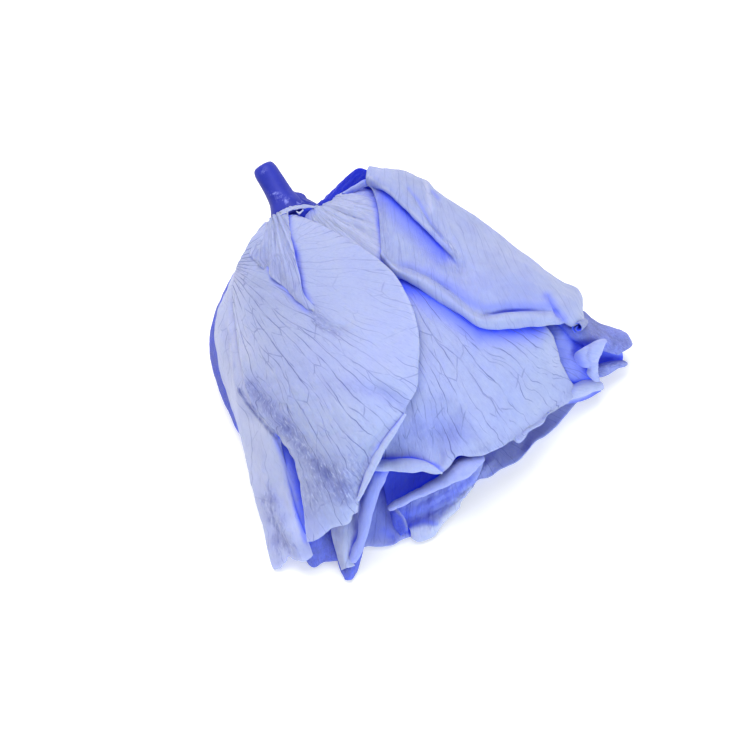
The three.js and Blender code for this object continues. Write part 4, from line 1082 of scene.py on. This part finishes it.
class Nodes:
    """A short way to lay out a material's nodes."""

    def __init__(self, name):
        self.material = bpy.data.materials.new(name)
        self.material.use_nodes = True
        self.tree = self.material.node_tree

    def add(self, kind, inputs, output=0, **settings):
        node = self.tree.nodes.new(kind)
        for key, value in settings.items():
            setattr(node, key, value)
        self.feed(node, inputs)
        return Value(self, node.outputs[output])

    def feed(self, node, inputs):
        """Links a node's inputs to values, and sets numbers and colours on the inputs themselves."""
        for key, value in inputs.items():
            if isinstance(value, Value):
                self.tree.links.new(value.socket, node.inputs[key])
            else:
                node.inputs[key].default_value = value

    def finish(self, inputs):
        self.feed(self.tree.nodes["Principled BSDF"], inputs)
        return self.material

    def math(self, operation, *values, clamp=False):
        return self.add("ShaderNodeMath", dict(enumerate(values)), operation=operation, use_clamp=clamp)

    def object_place(self):
        return self.add("ShaderNodeTexCoord", {}, "Object")

    def attribute(self, name, output="Fac"):
        return self.add("ShaderNodeAttribute", {}, output, attribute_name=name)

    def vector(self, *parts):
        return self.add("ShaderNodeCombineXYZ", dict(enumerate(parts)))

    def mix(self, share, a, b):
        return self.add("ShaderNodeMix", {0: share, 6: a, 7: b}, 2, data_type="RGBA")

    def noise(self, vector, scale, detail=3.0, roughness=0.55):
        inputs = {"Vector": vector, "Scale": scale, "Detail": detail, "Roughness": roughness}
        return self.add("ShaderNodeTexNoise", inputs)

    def relief(self, height, strength):
        return self.add("ShaderNodeBump", {"Height": height, "Strength": strength, "Distance": 0.0002})

    def random(self, *parts):
        """A number from 0 to 1 that stays the same for the same whole numbers."""
        return self.add("ShaderNodeTexWhiteNoise", {"Vector": self.vector(*parts)}, "Value")

    def cell_edges(self, vector):
        return self.add(
            "ShaderNodeTexVoronoi", {"Vector": vector, "Scale": 1.0},
            feature="DISTANCE_TO_EDGE", voronoi_dimensions="2D",
        )

    def vein(self, phase, seed, log_reach, spacing, first_fork, fork_range, stems):
        """Veins at whole phases, if stems is 1, each with a fork that leaves it further out."""
        whole = self.math("FLOOR", phase)
        share = self.math("FRACT", phase)
        stem_away = self.math("MINIMUM", share, 1.0 - share) + (1.0 - stems)
        passed = log_reach - (self.random(whole, seed, 3.0) * fork_range + first_fork)
        leave = passed.ramp(0.0, 0.4, 0.0, 0.5, "SMOOTHSTEP")
        turned = self.math("GREATER_THAN", self.random(whole, seed, 9.0), 0.5)
        mirrored = self.math("ABSOLUTE", turned - share)
        hidden = self.math("LESS_THAN", passed, 0.0)
        fork_away = self.math("ABSOLUTE", mirrored - leave) + hidden
        away = self.math("MINIMUM", stem_away, fork_away) * spacing
        return away.ramp(VEIN_HALF_WIDTH, VEIN_HALF_WIDTH + 0.55, 1.0, 0.0)


def petal_material():
    """Dyed petal: a pale periwinkle skin with fine dark veins, with painted shade in deeper blue where petals lie
    close.
    """
    n = Nodes("preserved_petal")
    place_3d = n.object_place()
    angle = n.add("ShaderNodeSeparateXYZ", {0: n.attribute("fan", "Vector")})
    log_reach, seed = angle.output(1), angle.output(2)
    veined, shade = n.attribute("veined"), n.attribute("shade")

    # Veins with forks, fainter twigs between them, and links that join them up, all in broken lines.
    sway = (n.noise(place_3d, 110.0, 1.0) - 0.5) * 0.11 + (n.noise(place_3d, 520.0, 1.0) - 0.5) * 0.015
    phase = (angle + sway) * VEINS_PER_RADIAN + 100.0
    spacing = n.math("EXPONENT", log_reach) / VEINS_PER_RADIAN
    vein = n.vein(phase, seed, log_reach, spacing, 3.9, 1.0, 1.0)
    twig = n.vein(phase * 2.0, seed + 31.0, log_reach, spacing * 0.5, 4.6, 0.9, 0.0)
    net = n.cell_edges(n.vector(phase * 1.5, log_reach * 3.4, seed))
    link = (net * (spacing * 0.67)).ramp(0.04, 0.4, 1.0, 0.0)
    vein_present = n.noise(place_3d, 200.0, 2.0).ramp(0.38, 0.6, 0.1, 1.0)
    twig_present = n.noise(place_3d, 300.0, 2.0).ramp(0.46, 0.64, 0.0, 0.7)
    link_present = n.noise(place_3d, 330.0, 2.0).ramp(0.44, 0.6, 0.0, 0.6)
    lines = n.math("MAXIMUM", vein * vein_present, twig * twig_present)
    lines = n.math("MAXIMUM", lines, link * link_present)
    veins = n.math("MULTIPLY", lines, veined, clamp=True)

    # Skin with painted highlights, then dye and painted shade in deeper blue, then patchy grey painted shade,
    # then streaks, and painted shade in furrows and painted highlights on ridges that run with the veins.
    mottle = n.noise(place_3d, 90.0, 4.0)
    colour = n.mix(n.attribute("pale"), SKIN, PALE_AND_HIGHLIGHT_SKIN)
    colour = n.mix(mottle.ramp(0.35, 0.7, 0.0, 0.2), colour, MOTTLED_SKIN)
    dye_and_shade_share = n.math("ADD", n.attribute("dye"), mottle.ramp(0.3, 0.7, -0.03, 0.03), clamp=True)
    colour = n.mix(dye_and_shade_share, colour, DEEP_DYE_AND_SHADE_BLUE)
    colour = n.mix(n.math("SUBTRACT", n.attribute("dye"), 1.0, clamp=True), colour, DEEPEST_DYE_AND_SHADE_BLUE)
    # Patchy grey painted shade.
    shade_patches = n.noise(place_3d, 380.0).ramp(0.35, 0.65, 0.55, 1.35)
    colour = n.mix(n.math("MULTIPLY", shade, shade_patches, clamp=True), colour, PAINTED_SHADE_GREY)
    streak = n.noise(n.vector(angle * 38.0, log_reach * 9.0, seed), 1.0, 4.0, 0.65)
    grain = n.noise(n.vector(angle * 110.0, log_reach * 30.0, seed), 1.0)
    lined = veined.ramp(0.0, 1.0, 0.35, 1.0)
    crinkled = shade.ramp(0.15, 0.38, 0.16, 1.0)
    colour = n.mix(streak.ramp(0.35, 0.65, 0.0, 0.16) * lined, colour, STREAKED)
    # Painted shade in the crinkles' furrows and painted highlights on their ridges.
    colour = n.mix(grain.ramp(0.46, 0.34, 0.0, 0.55) * crinkled, colour, FURROW_SHADE)
    ridge_highlight = grain.ramp(0.55, 0.68, 0.0, 0.5) * crinkled * dye_and_shade_share.ramp(0.15, 0.55, 1.0, 0.0)
    colour = n.mix(ridge_highlight, colour, RIDGE_HIGHLIGHT)
    colour = n.mix(veins * 0.85, colour, VEINED)

    crepe = n.noise(place_3d, 1900.0, 3.0, 0.6)
    height = (grain * 0.7 + crepe * 0.45) * crinkled.ramp(0.16, 1.0, 0.7, 2.4)
    height = height + streak * 1.1 * lined - veins * 0.25
    return n.finish({
        "Base Color": colour, "Normal": n.relief(height, 0.75), "Roughness": mottle.ramp(0.3, 0.7, 0.55, 0.68),
        "Specular IOR Level": 0.15, "Sheen Weight": 0.05, "Sheen Roughness": 0.5, "Sheen Tint": (0.7, 0.75, 1.0, 1),
        "Subsurface Weight": 0.5, "Subsurface Radius": (0.3, 0.4, 1.0), "Subsurface Scale": 0.0008,
    })


def stem_material():
    """Deep blue dyed stem, satin, with pale scuffs and a painted highlight."""
    n = Nodes("preserved_stem")
    mottle = n.noise(n.object_place(), 260.0, 4.0)
    scuff_and_highlight_mask = n.noise(n.object_place(), 900.0, 5.0, 0.7).ramp(0.5, 0.62, 0.0, 0.8)
    scuff_and_highlight_mask = n.math("MULTIPLY", scuff_and_highlight_mask, n.attribute("scuffed_and_lit"), clamp=True)
    return n.finish({
        "Base Color": n.mix(scuff_and_highlight_mask, n.mix(mottle.ramp(0.35, 0.65), STEM_DARK, STEM_LIGHT), SCUFF_AND_HIGHLIGHT_BLUE),
        "Normal": n.relief(mottle, 0.25), "Roughness": mottle.ramp(0.3, 0.7, 0.42, 0.6),
        "Specular IOR Level": 0.25,
    })


def stage():
    """A pale table, soft overhead light and the camera at the drawing's point of view."""
    bpy.ops.mesh.primitive_plane_add(size=4.0, location=(0, 0, -0.00005))
    table = bpy.context.object
    table.name = "table"
    table.data.materials.append(Nodes("pale_table").finish({
        "Base Color": TABLE, "Emission Color": WHITE, "Emission Strength": 0.3,
        "Roughness": 0.9, "Specular IOR Level": 0.1,
    }))

    scene = bpy.context.scene
    scene.world = bpy.data.worlds.new("studio")
    scene.world.use_nodes = True
    sky = scene.world.node_tree.nodes["Background"].inputs
    sky["Color"].default_value = WHITE
    sky["Strength"].default_value = 0.6
    soft_lamp("overhead", (-0.08, 0.14, 0.62), 0.5, 3.75, WHITE[:3])
    soft_lamp("low_fill", (0.33, -0.48, 0.16), 0.4, 2.2, (0.68, 0.87, 1.0))

    aim = np.array([MIDDLE_RIGHT, MIDDLE_UP * SINE, DATUM_HEIGHT + MIDDLE_UP * COSINE]) - REST
    camera = bpy.data.objects.new("camera", bpy.data.cameras.new("camera"))
    bpy.context.collection.objects.link(camera)
    camera.location = (aim + TO_VIEWER * EYE_DISTANCE) * MM
    camera.rotation_euler = (math.pi / 2 - ELEVATION, 0, 0)
    camera.data.sensor_width = 36
    camera.data.lens = camera.data.sensor_width * EYE_DISTANCE / (2 * MIDDLE / SCALE)
    camera.data.clip_start = 0.01
    scene.camera = camera
    scene.view_settings.view_transform = "Standard"
    scene.cycles.max_bounces = 14
    scene.cycles.diffuse_bounces = 10


def soft_lamp(name, location, size, power, colour):
    """A round lamp at a place in metres, turned to the middle of the flower."""
    data = bpy.data.lights.new(name, "AREA")
    data.shape = "DISK"
    data.size = size
    data.energy = power
    data.color = colour
    lamp = bpy.data.objects.new(name, data)
    bpy.context.collection.objects.link(lamp)
    lamp.location = location
    east, north, up = np.array([0, 0, 0.02]) - np.array(location)
    lamp.rotation_euler = (math.atan2(math.hypot(east, north), -up), 0, math.atan2(east, -north) + math.pi)


petals = [hand_laid_sheet(name, **look) for name, look in LOOKS.items()]
cupped = [
    cupped_sheet(f"back_petal_{number + 1}", petal, BACK_GRID, 60 + number, BACK_DYE)
    for number, petal in enumerate(BACK_PETALS)
]
cupped += inner_sheets()
tuck_under(cupped, tree_of(petals))
petals += cupped
# Painted shade, deeper blue, where petals lie close together.
paint_occlusion_shade(petals)
petal_skin = petal_material()
for petal in petals:
    blade(petal, petal_skin)
stem(stem_material())
stage()
